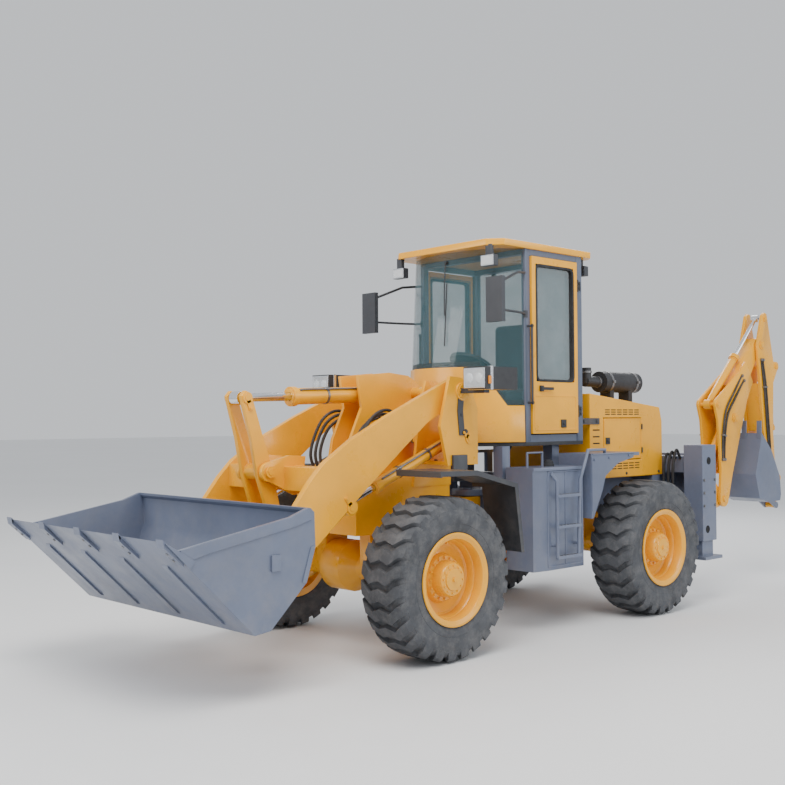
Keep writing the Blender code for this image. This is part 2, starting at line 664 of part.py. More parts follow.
def cab():
    post = (0.58, 0.62)
    front = (-1.43, -1.37)
    back = (-2.14, -2.06)
    low = CAB_BASE[1] + GAP
    top = ROOF_Z[0] - GAP
    plan = mirrored(COWL_LOW)
    plan = [(-2.14, -0.62), (-1.37, -0.62)] + [(x, y) for x, y in plan[::-1]][1:-1] + [
        (-1.37, 0.62), (-2.14, 0.62)]
    add = []
    for _, side in SIDES:
        add += [box(back, both(side, post), (low, top)),
                box((-2.10, -1.40), both(side, (0.585, 0.615)), (low, 1.59)),
                box((-2.10, -1.40), both(side, (0.582, 0.618)), (3.10, top)),
                tube([(-1.40, side * 0.60, 1.86), (-1.40, side * 0.665, 1.86),
                      (-1.40, side * 0.665, 2.50), (-1.40, side * 0.60, 2.50)], 0.012),
                tube([(-1.40, side * 0.60, 2.95), (-1.20, side * 0.69, 2.93),
                      (-0.87, side * 0.745, 2.80)], 0.011),
                box((-0.875, -0.835), both(side, (0.66, 0.83)), (2.497, 2.857))]
    for _, side in SIDES[1:]:
        add.append(box(front, both(side, post), (low, top)))
    add += [box((-1.428, -1.372), (-0.60, 0.60), (3.105, top)),
            box((-2.138, -2.062), (-0.60, 0.60), (3.105, top)),
            box((-2.12, -2.08), (-0.60, 0.60), (low, 2.05)),
            box((-1.42, -1.38), (-0.60, 0.60), (low, 1.56))]
    part("cab_frame", box(front, post, (low, top)), "grey", "machine", add=add)

    lift = 0.0004
    cowl = strip([(x, y, low + lift) for x, y in mirrored(COWL_LOW)],
                 [(x, y, z - 0.004) for x, y, z in mirrored(GLASS_LOW)], 0.02)
    part("cab_cowl", cowl, "yellow", "machine")
    glass = strip(mirrored(GLASS_LOW),
                  [(x, y, ROOF_Z[0] - GAP - 0.0018) for x, y in mirrored(GLASS_TOP)], 0.008)
    part("windshield", glass, "glass", "machine")
    part("rear_window", box((-2.104, -2.096), (0.0007 - post[0], post[0] - 0.0007),
                            (2.05 + GAP, 3.10)), "glass", "machine")

    wheel = [(-1.36, 0, 2.20), (-1.372, 0, 2.225)]
    floor = slab(plan, CAB_BASE)
    ring = rod(*wheel, 0.19, 24)
    add = [box((-1.34, -1.02), (-0.16, 0.16), (1.52, 1.80)),
           rod((-1.20, 0, 1.75), (-1.364, 0, 2.21), 0.03), ring]
    part("cab_floor", floor, "black", "machine", add=add)
    part("seat", box((-1.88, -1.60), (-0.20, 0.20), (low, 1.86)), "cloth", "machine",
         add=[box((-1.98, -1.50), (-0.25, 0.25), (1.85, 1.99)),
              box((-2.03, -1.91), (-0.23, 0.23), (1.97, 2.58))])

    chamfer = 0.07
    x0, x1 = ROOF_X
    plan = [(x0, -ROOF_W + chamfer), (x0 + chamfer, -ROOF_W), (x1 - 0.10, -ROOF_W),
            (x1, -ROOF_W + 0.12), (x1, ROOF_W - 0.12), (x1 - 0.10, ROOF_W),
            (x0 + chamfer, ROOF_W), (x0, ROOF_W - chamfer)]
    lamps = []
    for _, side in SIDES:
        lamps += [box((-1.06, -0.998), both(side, (0.46, 0.60)), (2.98, 3.07)),
                  box((-1.05, -1.01), both(side, (0.50, 0.56)), (3.06, ROOF_Z[0] + 0.01)),
                  box((-2.30, -2.24), both(side, (0.46, 0.58)), (3.00, 3.09)),
                  box((-2.28, -2.25), both(side, (0.50, 0.54)), (3.08, ROOF_Z[0] + 0.01))]
    part("cab_roof", slab(plan, ROOF_Z), "yellow", "machine", add=lamps)

    for hand, side in SIDES:
        y = both(side, (CAB_W - DOOR_T, CAB_W))
        leaf = box((DOOR_X[0], DOOR_X[1] - 0.006), y, (DOOR_Z[0], DOOR_Z[1] - 0.008))
        tabs = [box((DOOR_X[0] - 0.01 + GAP, DOOR_X[0] + 0.02),
                    both(side, (CAB_W - DOOR_T + 0.005, CAB_W - 0.004)), (z, z + 0.08))
                for z in (1.75, 2.85)]
        handle = [box((-1.66, -1.54), both(side, (CAB_W - 0.01, CAB_W + 0.018)), (1.96, 2.0))]
        hole = box((-2.00, -1.485), both(side, (CAB_W - 0.1, CAB_W + 0.1)), (2.04, 3.03))
        part(f"door_{hand}", leaf, "yellow", f"door_{hand}", add=tabs + handle, cut=[hole])
        inner = CAB_W - DOOR_T - GAP
        part(f"door_glass_{hand}", box((-2.015, -1.47), both(side, (inner - 0.006, inner)),
                                       (2.025, 3.045)), "glass", f"door_{hand}")


# ---------------------------------------------------------------- hood
HOOD_LINE = [(-2.30, HOOD_FLOOR), (-2.30, 1.95), (-3.41, 1.83), (-3.45, 1.70),
             (-3.45, HOOD_FLOOR)]


def hood_top(x):
    (x0, z0), (x1, z1) = HOOD_LINE[1:3]
    return z0 + (z1 - z0) * (x - x0) / (x1 - x0)


def hood():
    inside = offset(HOOD_LINE, HOOD_WALL)
    inside = [(inside[0][0], 1.10)] + inside[1:-1] + [(inside[-1][0], 1.10)]
    hollow = plate(inside, (HOOD_WALL - HOOD_W, HOOD_W - HOOD_WALL))
    holes = [box(HOOD_DOOR_X, both(side, (HOOD_W - 0.05, HOOD_W + 0.05)), HOOD_DOOR_Z)
             for _, side in SIDES]
    part("hood", plate(HOOD_LINE, (-HOOD_W, HOOD_W)), "yellow", "machine",
         add=[box((-2.302, -2.15), (-0.10, 0.10), (1.60, 1.66))], cut=[hollow] + holes)
    for hand, side in SIDES:
        y = (HOOD_W - HOOD_WALL, HOOD_W)
        leaf = box((HOOD_DOOR_X[0] + 0.01, HOOD_DOOR_X[1] - 0.006), both(side, y),
                   (HOOD_DOOR_Z[0] + 0.006, HOOD_DOOR_Z[1] - 0.006))
        tabs = [box((HOOD_DOOR_X[0] + GAP, HOOD_DOOR_X[0] + 0.03),
                    both(side, (y[0] + 0.002, y[1] - 0.002)), (z, z + 0.05))
                for z in (1.40, 1.62)]
        part(f"hood_door_{hand}", leaf, "yellow", f"hood_door_{hand}", add=tabs)

    y = 0.30
    add = [rod((-2.86, y, 2.07), (-2.60, y, 2.07), 0.05), rod((-2.63, y, 2.05),
                                                              (-2.63, y, 2.20), 0.045)]
    for x in (-3.25, -2.95):
        foot = [(x - 0.03, hood_top(x - 0.03) + GAP), (x + 0.03, hood_top(x + 0.03) + GAP),
                (x + 0.03, 2.05), (x - 0.03, 2.05)]
        add.append(plate(foot, (y - 0.06, y + 0.06)))
    part("air_cleaner", rod((-3.40, y, 2.07), (-2.82, y, 2.07), 0.10, 24), "black", "machine",
         add=add)


# ---------------------------------------------------------------- backhoe frame
def backhoe_frame():
    wall = LEG_WALL
    plate_x = (RAIL_X[1] - 0.06, CHASSIS_REAR)
    add = [box(RAIL_X, (-LEG_Y[0] - 0.05, LEG_Y[0] + 0.05), RAIL_UP),
           box(RAIL_X, (-LEG_Y[0] - 0.05, LEG_Y[0] + 0.05), RAIL_LOW)]
    cut = []
    for _, side in SIDES:
        add.append(box(LEG_X, both(side, LEG_Y), LEG_Z))
        cut.append(box((LEG_X[0] + wall, LEG_X[1] - wall),
                       both(side, (LEG_Y[0] + wall, LEG_Y[1] - wall)),
                       (LEG_Z[0] - 0.1, LEG_Z[1] - wall)))
    part("backhoe_frame", box(plate_x, (-0.45, 0.45), (RAIL_LOW[0] + 0.01,
                                                       RAIL_UP[1] - 0.01)),
         "grey", "machine", add=add, cut=cut)
    for hand, side in SIDES:
        x = (LEG_X[0] + wall + RUN, LEG_X[1] - wall - RUN)
        y = (LEG_Y[0] + wall + RUN, LEG_Y[1] - wall - RUN)
        grow = RUN - GAP
        collar = box((x[0] - grow, x[1] + grow), both(side, (y[0] - grow, y[1] + grow)),
                     (1.33, 1.41))
        foot = box((LEG_X[0] - 0.03, LEG_X[1] + 0.03), both(side, (LEG_Y[0] - 0.04,
                                                                   LEG_Y[1] + 0.04)),
                   (FOOT_Z, FOOT_Z + 0.03))
        part(f"stabilizer_{hand}", box(x, both(side, y), (FOOT_Z + 0.01, 1.42)), "grey",
             f"stabilizer_{hand}", add=[collar, foot])

    back = RAIL_X[0] - GAP
    lug = arc((SWING_X, SHIFT_Y), 0.085, 90, 270, 10) + [(-3.78, SHIFT_Y - 0.12),
                                                        (-3.78, SHIFT_Y + 0.12)]
    low, high = SWING_Z
    part("slide_carriage", box((-3.80, back), (SHIFT_Y - 0.25, SHIFT_Y + 0.25),
                               (RAIL_LOW[0] - 0.02, RAIL_UP[1] + 0.02)), "grey", "carriage",
         add=[slab(lug, (high + RUN, high + RUN + 0.06)), slab(lug, (low - RUN - 0.06,
                                                                    low - RUN)),
              rod((SWING_X, SHIFT_Y, low - RUN - 0.07), (SWING_X, SHIFT_Y, high + RUN + 0.07),
                  0.03, 20)])
    cheek = [(-4.00, high - 0.005), (-4.10, high - 0.01)]
    cheek += [(-4.19, 1.13), (-4.32, 1.02)] + round_end(BOOM_FOOT, 0.07, 60, 250, 8)
    cheek += [(-4.20, 0.80), (-4.00, low + 0.005)]
    sides = [plate(cheek, (y[0], y[1])) for y in (
        (SHIFT_Y - 0.074, SHIFT_Y - 0.050), (SHIFT_Y + 0.050, SHIFT_Y + 0.074))]
    part("swing_post", rod((SWING_X, SHIFT_Y, low), (SWING_X, SHIFT_Y, high), 0.08, 20),
         "yellow", "swing",
         add=sides + [boss(BOOM_FOOT, (SHIFT_Y - 0.125, SHIFT_Y + 0.125), 0.03),
                      boss(BOOM_BASE, (SHIFT_Y - 0.072, SHIFT_Y + 0.072), 0.02)],
         cut=[rod((SWING_X, SHIFT_Y, low - 0.01), (SWING_X, SHIFT_Y, high + 0.01),
                  0.03 + FIT, 20)])


SWING_Z = (0.78, 1.21)


# ---------------------------------------------------------------- boom and dipper
def boom():
    side = [(-4.29, 0.90), (-4.32, 1.21), (-4.27, 1.70)]
    side += round_end(DIP_BASE, 0.055, -30, 60, 4)
    side += [(-4.72, 2.20), (-4.84, 2.31), (-4.98, 2.10), (-4.86, 1.92), (-4.70, 1.55),
             (-4.53, 1.13)]
    side += round_end(BOOM_FOOT, 0.08, 200, 340, 7)
    web = [(-4.53, 1.14), (-4.70, 1.56), (-4.86, 1.93), (-4.975, 2.10)]
    web += [(x + 0.025, z + 0.012) for x, z in web[::-1]]
    core = [(-4.60, 2.06), (-4.82, 2.27), (-4.95, 2.095), (-4.80, 1.84)]
    tip = [(-4.62, 2.07), (-4.83, 2.29), (-5.05, 2.49)] + round_end(BOOM_TIP, 0.075, 50, 240,
                                                                    8)
    tip += [(-5.08, 2.28), (-4.955, 2.10), (-4.80, 1.86)]
    one, other = about(BOOM_PLATE)
    full = (SHIFT_Y - 0.09, SHIFT_Y + 0.09)
    part("backhoe_boom", plate(side, one), "yellow", "boom",
         add=[plate(side, other), plate(web, full), plate(core, full),
              plate(tip, (SHIFT_Y - TIP_W, SHIFT_Y + TIP_W)),
              boss(DIP_BASE, (SHIFT_Y - 0.105, SHIFT_Y + 0.105), 0.022),
              boss(BOOM_PIN, (SHIFT_Y + 0.10, SHIFT_Y + 0.125), 0.05),
              boss(BOOM_PIN, (SHIFT_Y - 0.125, SHIFT_Y - 0.10), 0.05)],
         cut=[boss(BOOM_FOOT, (SHIFT_Y - 0.2, SHIFT_Y + 0.2), 0.03 + FIT),
              boss(BOOM_TIP, (SHIFT_Y - 0.2, SHIFT_Y + 0.2), 0.03 + FIT)])
    ram("boom", BOOM_BASE, BOOM_PIN, SHIFT_Y, 0.040, 0.022, 0.62, 0.13,
        ("boom_barrel", "boom_rod"), 0.02, 0.036)
    ram("dipper", DIP_BASE, DIP_PIN, SHIFT_Y, 0.040, 0.022, 0.74, 0.62,
        ("dipper_barrel", "dipper_rod"), 0.022, 0.036)


def dipper():
    side = [(-5.20, 2.82), (-5.245, 2.85), (-5.29, 2.84), (-5.38, 2.52), (-5.43, 2.33)]
    side += round_end(CROWD_BASE, 0.05, 110, 250, 6)
    side += [(-5.42, 2.10), (-5.40, 1.59), (-5.43, 1.24)]
    side += round_end(DIG_PIVOT, 0.055, 180, 360, 8)
    side += [(-5.27, 1.28), (-5.19, 1.59), (-5.12, 2.20), (-5.09, 2.50)]
    core = [(-5.385, 2.09), (-5.37, 1.58), (-5.215, 1.58), (-5.155, 2.09)]
    one, other = about(BOOM_PLATE)
    full = (SHIFT_Y - 0.09, SHIFT_Y + 0.09)
    add = [plate(side, other), plate(core, full),
           boss(BOOM_TIP, (SHIFT_Y - 0.125, SHIFT_Y + 0.125), 0.03),
           boss(ROCKER_PIVOT, (SHIFT_Y - 0.12, SHIFT_Y + 0.12), 0.02),
           boss(CROWD_BASE, (SHIFT_Y - 0.105, SHIFT_Y + 0.105), 0.02)]
    part("dipper", plate(side, one), "yellow", "dipper", add=add,
         cut=[boss(DIG_PIVOT, (SHIFT_Y - 0.2, SHIFT_Y + 0.2), 0.025 + FIT)])
    ram("bucket", CROWD_BASE, ROCKER_END, SHIFT_Y, 0.036, 0.020, 0.70, 0.46,
        ("crowd_barrel", "crowd_rod"), 0.02, 0.018)

    bar = round_end(ROCKER_PIVOT, 0.04, -60, 120, 8) + round_end(ROCKER_END, 0.032, 125, 320,
                                                                8)
    plates = [(SHIFT_Y + 0.052, SHIFT_Y + 0.070), (SHIFT_Y - 0.070, SHIFT_Y - 0.052)]
    stubs = [(SHIFT_Y + 0.026, SHIFT_Y + 0.065), (SHIFT_Y - 0.065, SHIFT_Y - 0.026)]
    part("bucket_rocker", plate(bar, plates[0]), "yellow", "rocker",
         add=[plate(bar, plates[1]), boss(ROCKER_PIVOT, (SHIFT_Y - 0.06, SHIFT_Y + 0.06),
                                          0.038)]
         + [boss(ROCKER_END, y, 0.015) for y in stubs],
         cut=[boss(ROCKER_PIVOT, (SHIFT_Y - 0.1, SHIFT_Y + 0.1), 0.02 + FIT)])
    way = toward(ROCKER_END, PUSH_END, 0.05)
    bar = round_end(ROCKER_END, 0.030, 10, 190, 8) + round_end(PUSH_END, 0.030, 190, 370, 8)
    plates = [(SHIFT_Y + 0.029, SHIFT_Y + 0.045), (SHIFT_Y - 0.045, SHIFT_Y - 0.029)]
    part("push_link", plate(bar, plates[0]), "yellow", "push",
         add=[plate(bar, plates[1]), boss(PUSH_END, (SHIFT_Y - 0.04, SHIFT_Y + 0.04),
                                          0.028)],
         cut=[boss(ROCKER_END, (SHIFT_Y - 0.1, SHIFT_Y + 0.1), 0.015 + FIT),
              boss(PUSH_END, (SHIFT_Y - 0.1, SHIFT_Y + 0.1), 0.016)])


def digging_bucket():
    shell = [(-4.985, 1.56), (-4.95, 1.45), (-4.84, 1.13), (-4.92, 0.88), (-5.09, 0.83),
             (-5.36, 0.835)]
    edge = [(-5.38, 0.90), (-5.36, 1.09), (-5.19, 1.37), (-5.03, 1.52)]
    wall = 0.016
    low, high = SHIFT_Y - DIG_W, SHIFT_Y + DIG_W
    inside = offset(shell, -wall)
    cavity = [(-4.99, 1.70)] + inside + [(-5.60, 0.86), (-5.60, 1.70)]
    ear = round_end(DIG_PIVOT, 0.05, 60, 240, 8) + [(-5.36, 0.838), (-5.20, 0.84),
                                                    (-5.22, 0.90)]
    hook = round_end(PUSH_END, 0.034, 110, 290, 8) + [(-5.34, 0.838), (-5.345, 0.848)]
    tooth = [(-4.985, 1.50), (-4.965, 1.50), (-4.975, 1.69), (-4.99, 1.69)]
    add = []
    for y in (SHIFT_Y - 0.128, SHIFT_Y + 0.128):
        add.append(plate(ear, (y - 0.011, y + 0.011)))
    for y in (SHIFT_Y - 0.062, SHIFT_Y + 0.062):
        add.append(plate(hook, (y - 0.010, y + 0.010)))
    add.append(boss(DIG_PIVOT, (SHIFT_Y - 0.145, SHIFT_Y + 0.145), 0.025))
    for y in (low + 0.028, SHIFT_Y, high - 0.028):
        add.append(plate(tooth, (y - 0.025, y + 0.025)))
    part("backhoe_bucket", plate(shell + edge, (low, high)), "grey", "dig", add=add,
         hollow=[plate(cavity, (low + wall, high - wall))])


wheels()
axle("front_axle", 0.0, "articulation")
axle("rear_axle", REAR_AXLE_X, "machine")
front_frame()
loader()
rear_frame()
cab()
hood()
backhoe_frame()
boom()
dipper()
digging_bucket()
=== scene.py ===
"""Backhoe loader: materials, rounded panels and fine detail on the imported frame.

Working coordinates are the machine frame: zero on the ground under the front
axle, +X forward, +Y left, +Z up.  at() turns them into the row frame.
"""
import math
import json

import bmesh
import bpy
from mathutils import Matrix, Vector


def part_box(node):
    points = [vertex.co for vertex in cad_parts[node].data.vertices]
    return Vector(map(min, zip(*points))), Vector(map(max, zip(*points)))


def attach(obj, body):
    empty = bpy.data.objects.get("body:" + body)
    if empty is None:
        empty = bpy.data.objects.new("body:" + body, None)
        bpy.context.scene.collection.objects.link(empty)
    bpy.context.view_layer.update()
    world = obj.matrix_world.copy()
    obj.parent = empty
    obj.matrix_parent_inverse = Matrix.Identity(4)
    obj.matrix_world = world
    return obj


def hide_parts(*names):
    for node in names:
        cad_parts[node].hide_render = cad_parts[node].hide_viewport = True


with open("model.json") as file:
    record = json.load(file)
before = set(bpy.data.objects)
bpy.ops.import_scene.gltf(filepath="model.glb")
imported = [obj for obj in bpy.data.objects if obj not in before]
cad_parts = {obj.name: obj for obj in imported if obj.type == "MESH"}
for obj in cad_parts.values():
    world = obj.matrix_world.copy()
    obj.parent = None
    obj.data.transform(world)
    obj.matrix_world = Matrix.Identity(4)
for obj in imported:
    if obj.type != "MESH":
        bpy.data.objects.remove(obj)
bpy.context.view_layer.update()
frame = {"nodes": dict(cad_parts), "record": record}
NODES = frame["nodes"]
front_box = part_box("tyre_front_left")
AXLE_X = (front_box[0][0] + front_box[1][0]) / 2
SIDES = (("left", 1), ("right", -1))
OUT = bpy.context.scene.collection


def at(x, y, z):
    return Vector((x + AXLE_X, y, z))


# ------------------------------------------------------------------ materials
class Graph:
    """A material's node tree, built from short calls."""

    def __init__(self, name):
        self.material = bpy.data.materials.new(name)
        self.material.use_nodes = True
        self.tree = self.material.node_tree
        self.shader = self.tree.nodes["Principled BSDF"]
        self.coords = self.node("ShaderNodeTexCoord").outputs["Object"]

    def node(self, kind, **values):
        made = self.tree.nodes.new(kind)
        for key, value in values.items():
            setattr(made, key, value)
        return made

    def link(self, start, end):
        self.tree.links.new(start, end)

    def noise(self, scale, detail=4.0, rough=0.6, stretch=None):
        made = self.node("ShaderNodeTexNoise")
        made.inputs["Scale"].default_value = scale
        made.inputs["Detail"].default_value = detail
        made.inputs["Roughness"].default_value = rough
        source = self.coords
        if stretch:
            mapping = self.node("ShaderNodeMapping")
            mapping.inputs["Scale"].default_value = stretch
            self.link(source, mapping.inputs["Vector"])
            source = mapping.outputs["Vector"]
        self.link(source, made.inputs["Vector"])
        return made.outputs["Fac"]

    def ramp(self, value, low, high, dark=0.0, light=1.0):
        made = self.node("ShaderNodeMapRange")
        self.link(value, made.inputs["Value"])
        for key, number in (("From Min", low), ("From Max", high), ("To Min", dark),
                            ("To Max", light)):
            made.inputs[key].default_value = number
        return made.outputs["Result"]

    def mix(self, factor, one, two):
        made = self.node("ShaderNodeMix", data_type='RGBA')
        self.link(factor, made.inputs["Factor"])
        for slot, colour in ((made.inputs["A"], one), (made.inputs["B"], two)):
            if isinstance(colour, tuple):
                slot.default_value = (*colour, 1.0)
            else:
                self.link(colour, slot)
        return made.outputs["Result"]

    def times(self, one, two):
        made = self.node("ShaderNodeMath", operation='MULTIPLY')
        self.link(one, made.inputs[0])
        if isinstance(two, float):
            made.inputs[1].default_value = two
        else:
            self.link(two, made.inputs[1])
        return made.outputs["Value"]

    def height(self, low, high):
        """1 at low Z and 0 at high Z."""
        split = self.node("ShaderNodeSeparateXYZ")
        self.link(self.coords, split.inputs["Vector"])
        return self.ramp(split.outputs["Z"], low, high, 1.0, 0.0)

    def edges(self, low, high):
        geometry = self.node("ShaderNodeNewGeometry")
        return self.ramp(geometry.outputs["Pointiness"], low, high)

    def bump(self, value, strength, distance, under=None):
        made = self.node("ShaderNodeBump")
        made.inputs["Strength"].default_value = strength
        made.inputs["Distance"].default_value = distance
        self.link(value, made.inputs["Height"])
        if under is not None:
            self.link(under, made.inputs["Normal"])
        return made.outputs["Normal"]

    def done(self, colour=None, rough=None, metal=0.0, normal=None):
        for key, value in (("Base Color", colour), ("Roughness", rough), ("Normal", normal)):
            if value is None:
                continue
            if isinstance(value, tuple):
                self.shader.inputs[key].default_value = (*value, 1.0)
            elif isinstance(value, float):
                self.shader.inputs[key].default_value = value
            else:
                self.link(value, self.shader.inputs[key])
        self.shader.inputs["Metallic"].default_value = metal
        return self.material


def paint(name, colour, rough=0.33, dust=0.30, wear=0.25, coat=0.25):
    """Sprayed enamel: orange peel, faint fading, dust low down, thinned edges."""
    g = Graph(name)
    faded = tuple(min(1.0, c * 1.08 + 0.002) for c in colour)
    deep = tuple(c * 0.88 for c in colour)
    base = g.mix(g.ramp(g.noise(1.7, 5.0), 0.35, 0.68), deep, faded)
    dirt = g.times(g.height(0.15, 1.5), g.ramp(g.noise(7.0, 8.0, 0.7), 0.42, 0.75))
    base = g.mix(g.times(dirt, dust), base, (0.34, 0.30, 0.25))
    rubbed = g.times(g.edges(0.53, 0.62), g.ramp(g.noise(24.0, 6.0), 0.45, 0.7))
    light = tuple(min(1.0, c * 1.2 + 0.02) for c in colour)
    base = g.mix(g.times(rubbed, wear), base, light)
    gloss = g.ramp(g.noise(5.0, 6.0), 0.3, 0.75, rough - 0.07, rough + 0.14)
    peel = g.bump(g.noise(420.0, 2.0, 0.5), 0.06, 0.0012)
    waves = g.bump(g.noise(9.0, 2.0, 0.4), 0.10, 0.004, peel)
    g.shader.inputs["Coat Weight"].default_value = coat
    g.shader.inputs["Coat Roughness"].default_value = 0.16
    return g.done(base, gloss, 0.0, waves)


def rubber(name, colour, dust=0.55):
    g = Graph(name)
    low = tuple(c * 0.6 for c in colour)
    base = g.mix(g.ramp(g.noise(6.0, 8.0, 0.7), 0.35, 0.7), low, colour)
    chalk = g.times(g.ramp(g.noise(11.0, 10.0, 0.75), 0.45, 0.8), dust)
    base = g.mix(chalk, base, (0.20, 0.195, 0.19))
    grain = g.bump(g.noise(160.0, 6.0, 0.7), 0.22, 0.002)
    return g.done(base, g.ramp(g.noise(14.0, 6.0), 0.3, 0.7, 0.68, 0.92), 0.0, grain)


def cast(name, colour, rough=0.6, metal=0.5):
    g = Graph(name)
    base = g.mix(g.ramp(g.noise(18.0, 8.0, 0.7), 0.35, 0.7), tuple(c * 0.6 for c in colour),
                 colour)
    base = g.mix(g.times(g.ramp(g.noise(5.0, 6.0), 0.5, 0.75), 0.35), base,
                 (0.16, 0.10, 0.06))
    return g.done(base, g.ramp(g.noise(30.0, 4.0), 0.3, 0.7, rough - 0.1, rough + 0.15), metal,
                  g.bump(g.noise(90.0, 6.0, 0.7), 0.25, 0.002))


def polished(name, colour=(0.82, 0.83, 0.85), rough=0.12):
    g = Graph(name)
    smear = g.noise(3.0, 6.0, 0.6, (1.0, 60.0, 1.0))
    return g.done(g.mix(g.ramp(smear, 0.3, 0.7), tuple(c * 0.9 for c in colour), colour),
                  g.ramp(smear, 0.3, 0.75, rough * 0.7, rough * 1.8), 1.0,
                  g.bump(smear, 0.03, 0.0006))


def plastic(name, colour, rough=0.5):
    g = Graph(name)
    base = g.mix(g.ramp(g.noise(9.0, 6.0), 0.35, 0.7), tuple(c * 0.75 for c in colour), colour)
    return g.done(base, g.ramp(g.noise(22.0, 5.0), 0.3, 0.7, rough - 0.08, rough + 0.14), 0.0,
                  g.bump(g.noise(330.0, 3.0, 0.6), 0.16, 0.0008))


def clear(name, tint, opaque=0.16):
    """Flat tinted glass: what shows through is tinted, and faint dust catches light."""
    g = Graph(name)
    g.shader.inputs["Specular IOR Level"].default_value = 0.7
    film = g.ramp(g.noise(4.0, 8.0, 0.7), 0.35, 0.8, opaque, opaque + 0.10)
    g.link(film, g.shader.inputs["Alpha"])
    return g.done(g.mix(g.ramp(g.noise(2.0, 3.0), 0.3, 0.7), tint,
                        tuple(min(1.0, c * 1.15) for c in tint)),
                  g.ramp(g.noise(12.0, 8.0, 0.7), 0.3, 0.8, 0.03, 0.10), 0.0)


def woven(name, colour):
    g = Graph(name)
    waves = []
    for direction in ('X', 'Y'):
        wave = g.node("ShaderNodeTexWave", wave_type='BANDS', bands_direction=direction)
        wave.inputs["Scale"].default_value = 160.0
        wave.inputs["Distortion"].default_value = 0.6
        g.link(g.coords, wave.inputs["Vector"])
        waves.append(wave.outputs["Fac"])
    weave = g.times(waves[0], waves[1])
    base = g.mix(weave, tuple(c * 0.5 for c in colour), tuple(c * 1.4 for c in colour))
    g.shader.inputs["Sheen Weight"].default_value = 0.35
    return g.done(base, 0.86, 0.0, g.bump(weave, 0.35, 0.001))


YELLOW = paint("enamel_yellow", (0.90, 0.405, 0.002), 0.30, 0.14, 0.2)
GREY = paint("enamel_grey", (0.125, 0.150, 0.222), 0.36, 0.35, 0.35, 0.12)
DARK = paint("enamel_dark", (0.035, 0.038, 0.046), 0.42, 0.35, 0.2, 0.1)
FRAME = paint("enamel_frame", (0.10, 0.122, 0.175), 0.38, 0.2, 0.2, 0.15)
TYRE = rubber("tyre_rubber", (0.078, 0.083, 0.094), 0.6)
SEAL = rubber("seal_rubber", (0.022, 0.022, 0.024), 0.15)
HOSE = rubber("hose_rubber", (0.05, 0.045, 0.04), 0.3)
CHROME = polished("hard_chrome")
MIRROR = polished("mirror_glass", (0.86, 0.90, 0.93), 0.03)
STEEL = cast("worn_steel", (0.30, 0.30, 0.31), 0.42, 0.85)
IRON = cast("cast_iron", (0.12, 0.12, 0.13))
BLACK = plastic("moulded_black", (0.028, 0.029, 0.033))
LENS = clear("lamp_lens", (0.85, 0.9, 0.95), 0.35)
AMBER = plastic("amber_lens", (0.85, 0.28, 0.02), 0.2)
RED = plastic("red_lens", (0.55, 0.02, 0.015), 0.2)
GLASS = clear("cab_glass", (0.055, 0.135, 0.155), 0.24)
CLOTH = woven("seat_cloth", (0.055, 0.058, 0.07))
# near-black material that paints the shade inside the hood slots and leg holes, which are not cut
PAINTED_HOLE_SHADE = plastic("painted_recess_shade", (0.006, 0.006, 0.007), 0.8)
TAN = paint("seat_tan", (0.55, 0.26, 0.09), 0.55, 0.05)


# ------------------------------------------------------------------ mesh helpers
def emit(name, bm, material, body, bevel=0.0, angle=40, smooth=True):
    """Turn a bmesh in the row frame into a finished piece on a body."""
    bmesh.ops.recalc_face_normals(bm, faces=bm.faces)
    mesh = bpy.data.meshes.new(name)
    bm.to_mesh(mesh)
    bm.free()
    obj = bpy.data.objects.new(name, mesh)
    OUT.objects.link(obj)
    mesh.materials.append(material)
    finish_piece(obj, body, bevel, angle, smooth)
    return obj


def finish_piece(obj, body, bevel, angle=40, smooth=True):
    if bevel:
        edge = obj.modifiers.new("edge", 'BEVEL')
        edge.width = bevel
        edge.segments = 2
        edge.limit_method = 'ANGLE'
        edge.angle_limit = math.radians(angle)
        edge.harden_normals = True
    if smooth:
        obj.data.shade_smooth()
        obj.data.set_sharp_from_angle(angle=math.radians(angle if not bevel else 60))
    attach(obj, body)


def block(bm, x, y, z):
    size = [abs(r[1] - r[0]) for r in (x, y, z)]
    middle = at((x[0] + x[1]) / 2, (y[0] + y[1]) / 2, (z[0] + z[1]) / 2)
    matrix = Matrix.Translation(middle) @ Matrix.Diagonal((*size, 1))
    bmesh.ops.create_cube(bm, size=1.0, matrix=matrix)


def bar(bm, start, end, radius, sides=24, radius_end=None):
    start, end = at(*start), at(*end)
    turn = (end - start).to_track_quat('Z', 'Y').to_matrix().to_4x4()
    bmesh.ops.create_cone(bm, cap_ends=True, segments=sides, radius1=radius,
                          radius2=radius if radius_end is None else radius_end,
                          depth=(end - start).length,
                          matrix=Matrix.Translation((start + end) / 2) @ turn)


def band(bm, centre, way, inner, outer, half):
    """A plain ring about an axis in the X, Z plane or across it."""
    way = Vector(way).normalized()
    one = way.orthogonal().normalized()
    two = way.cross(one)
    rows = []
    for r, shift in ((inner, -half), (outer, -half), (outer, half), (inner, half)):
        rows.append([bm.verts.new(at(*(Vector(centre) + way * shift
                                       + (one * math.cos(a) + two * math.sin(a)) * r)))
                     for a in (math.tau * k / 40 for k in range(40))])
    for row, after in zip(rows, rows[1:] + rows[:1]):
        for k in range(40):
            j = (k + 1) % 40
            bm.faces.new((row[k], row[j], after[j], after[k]))


def bolt(bm, place, way, size=0.012, tall=0.009):
    """A hexagon head on its washer."""
    place, way = Vector(place), Vector(way).normalized()
    bar(bm, place, place + way * tall * 0.3, size * 1.35, 16)
    bar(bm, place + way * tall * 0.25, place + way * tall, size, 6)


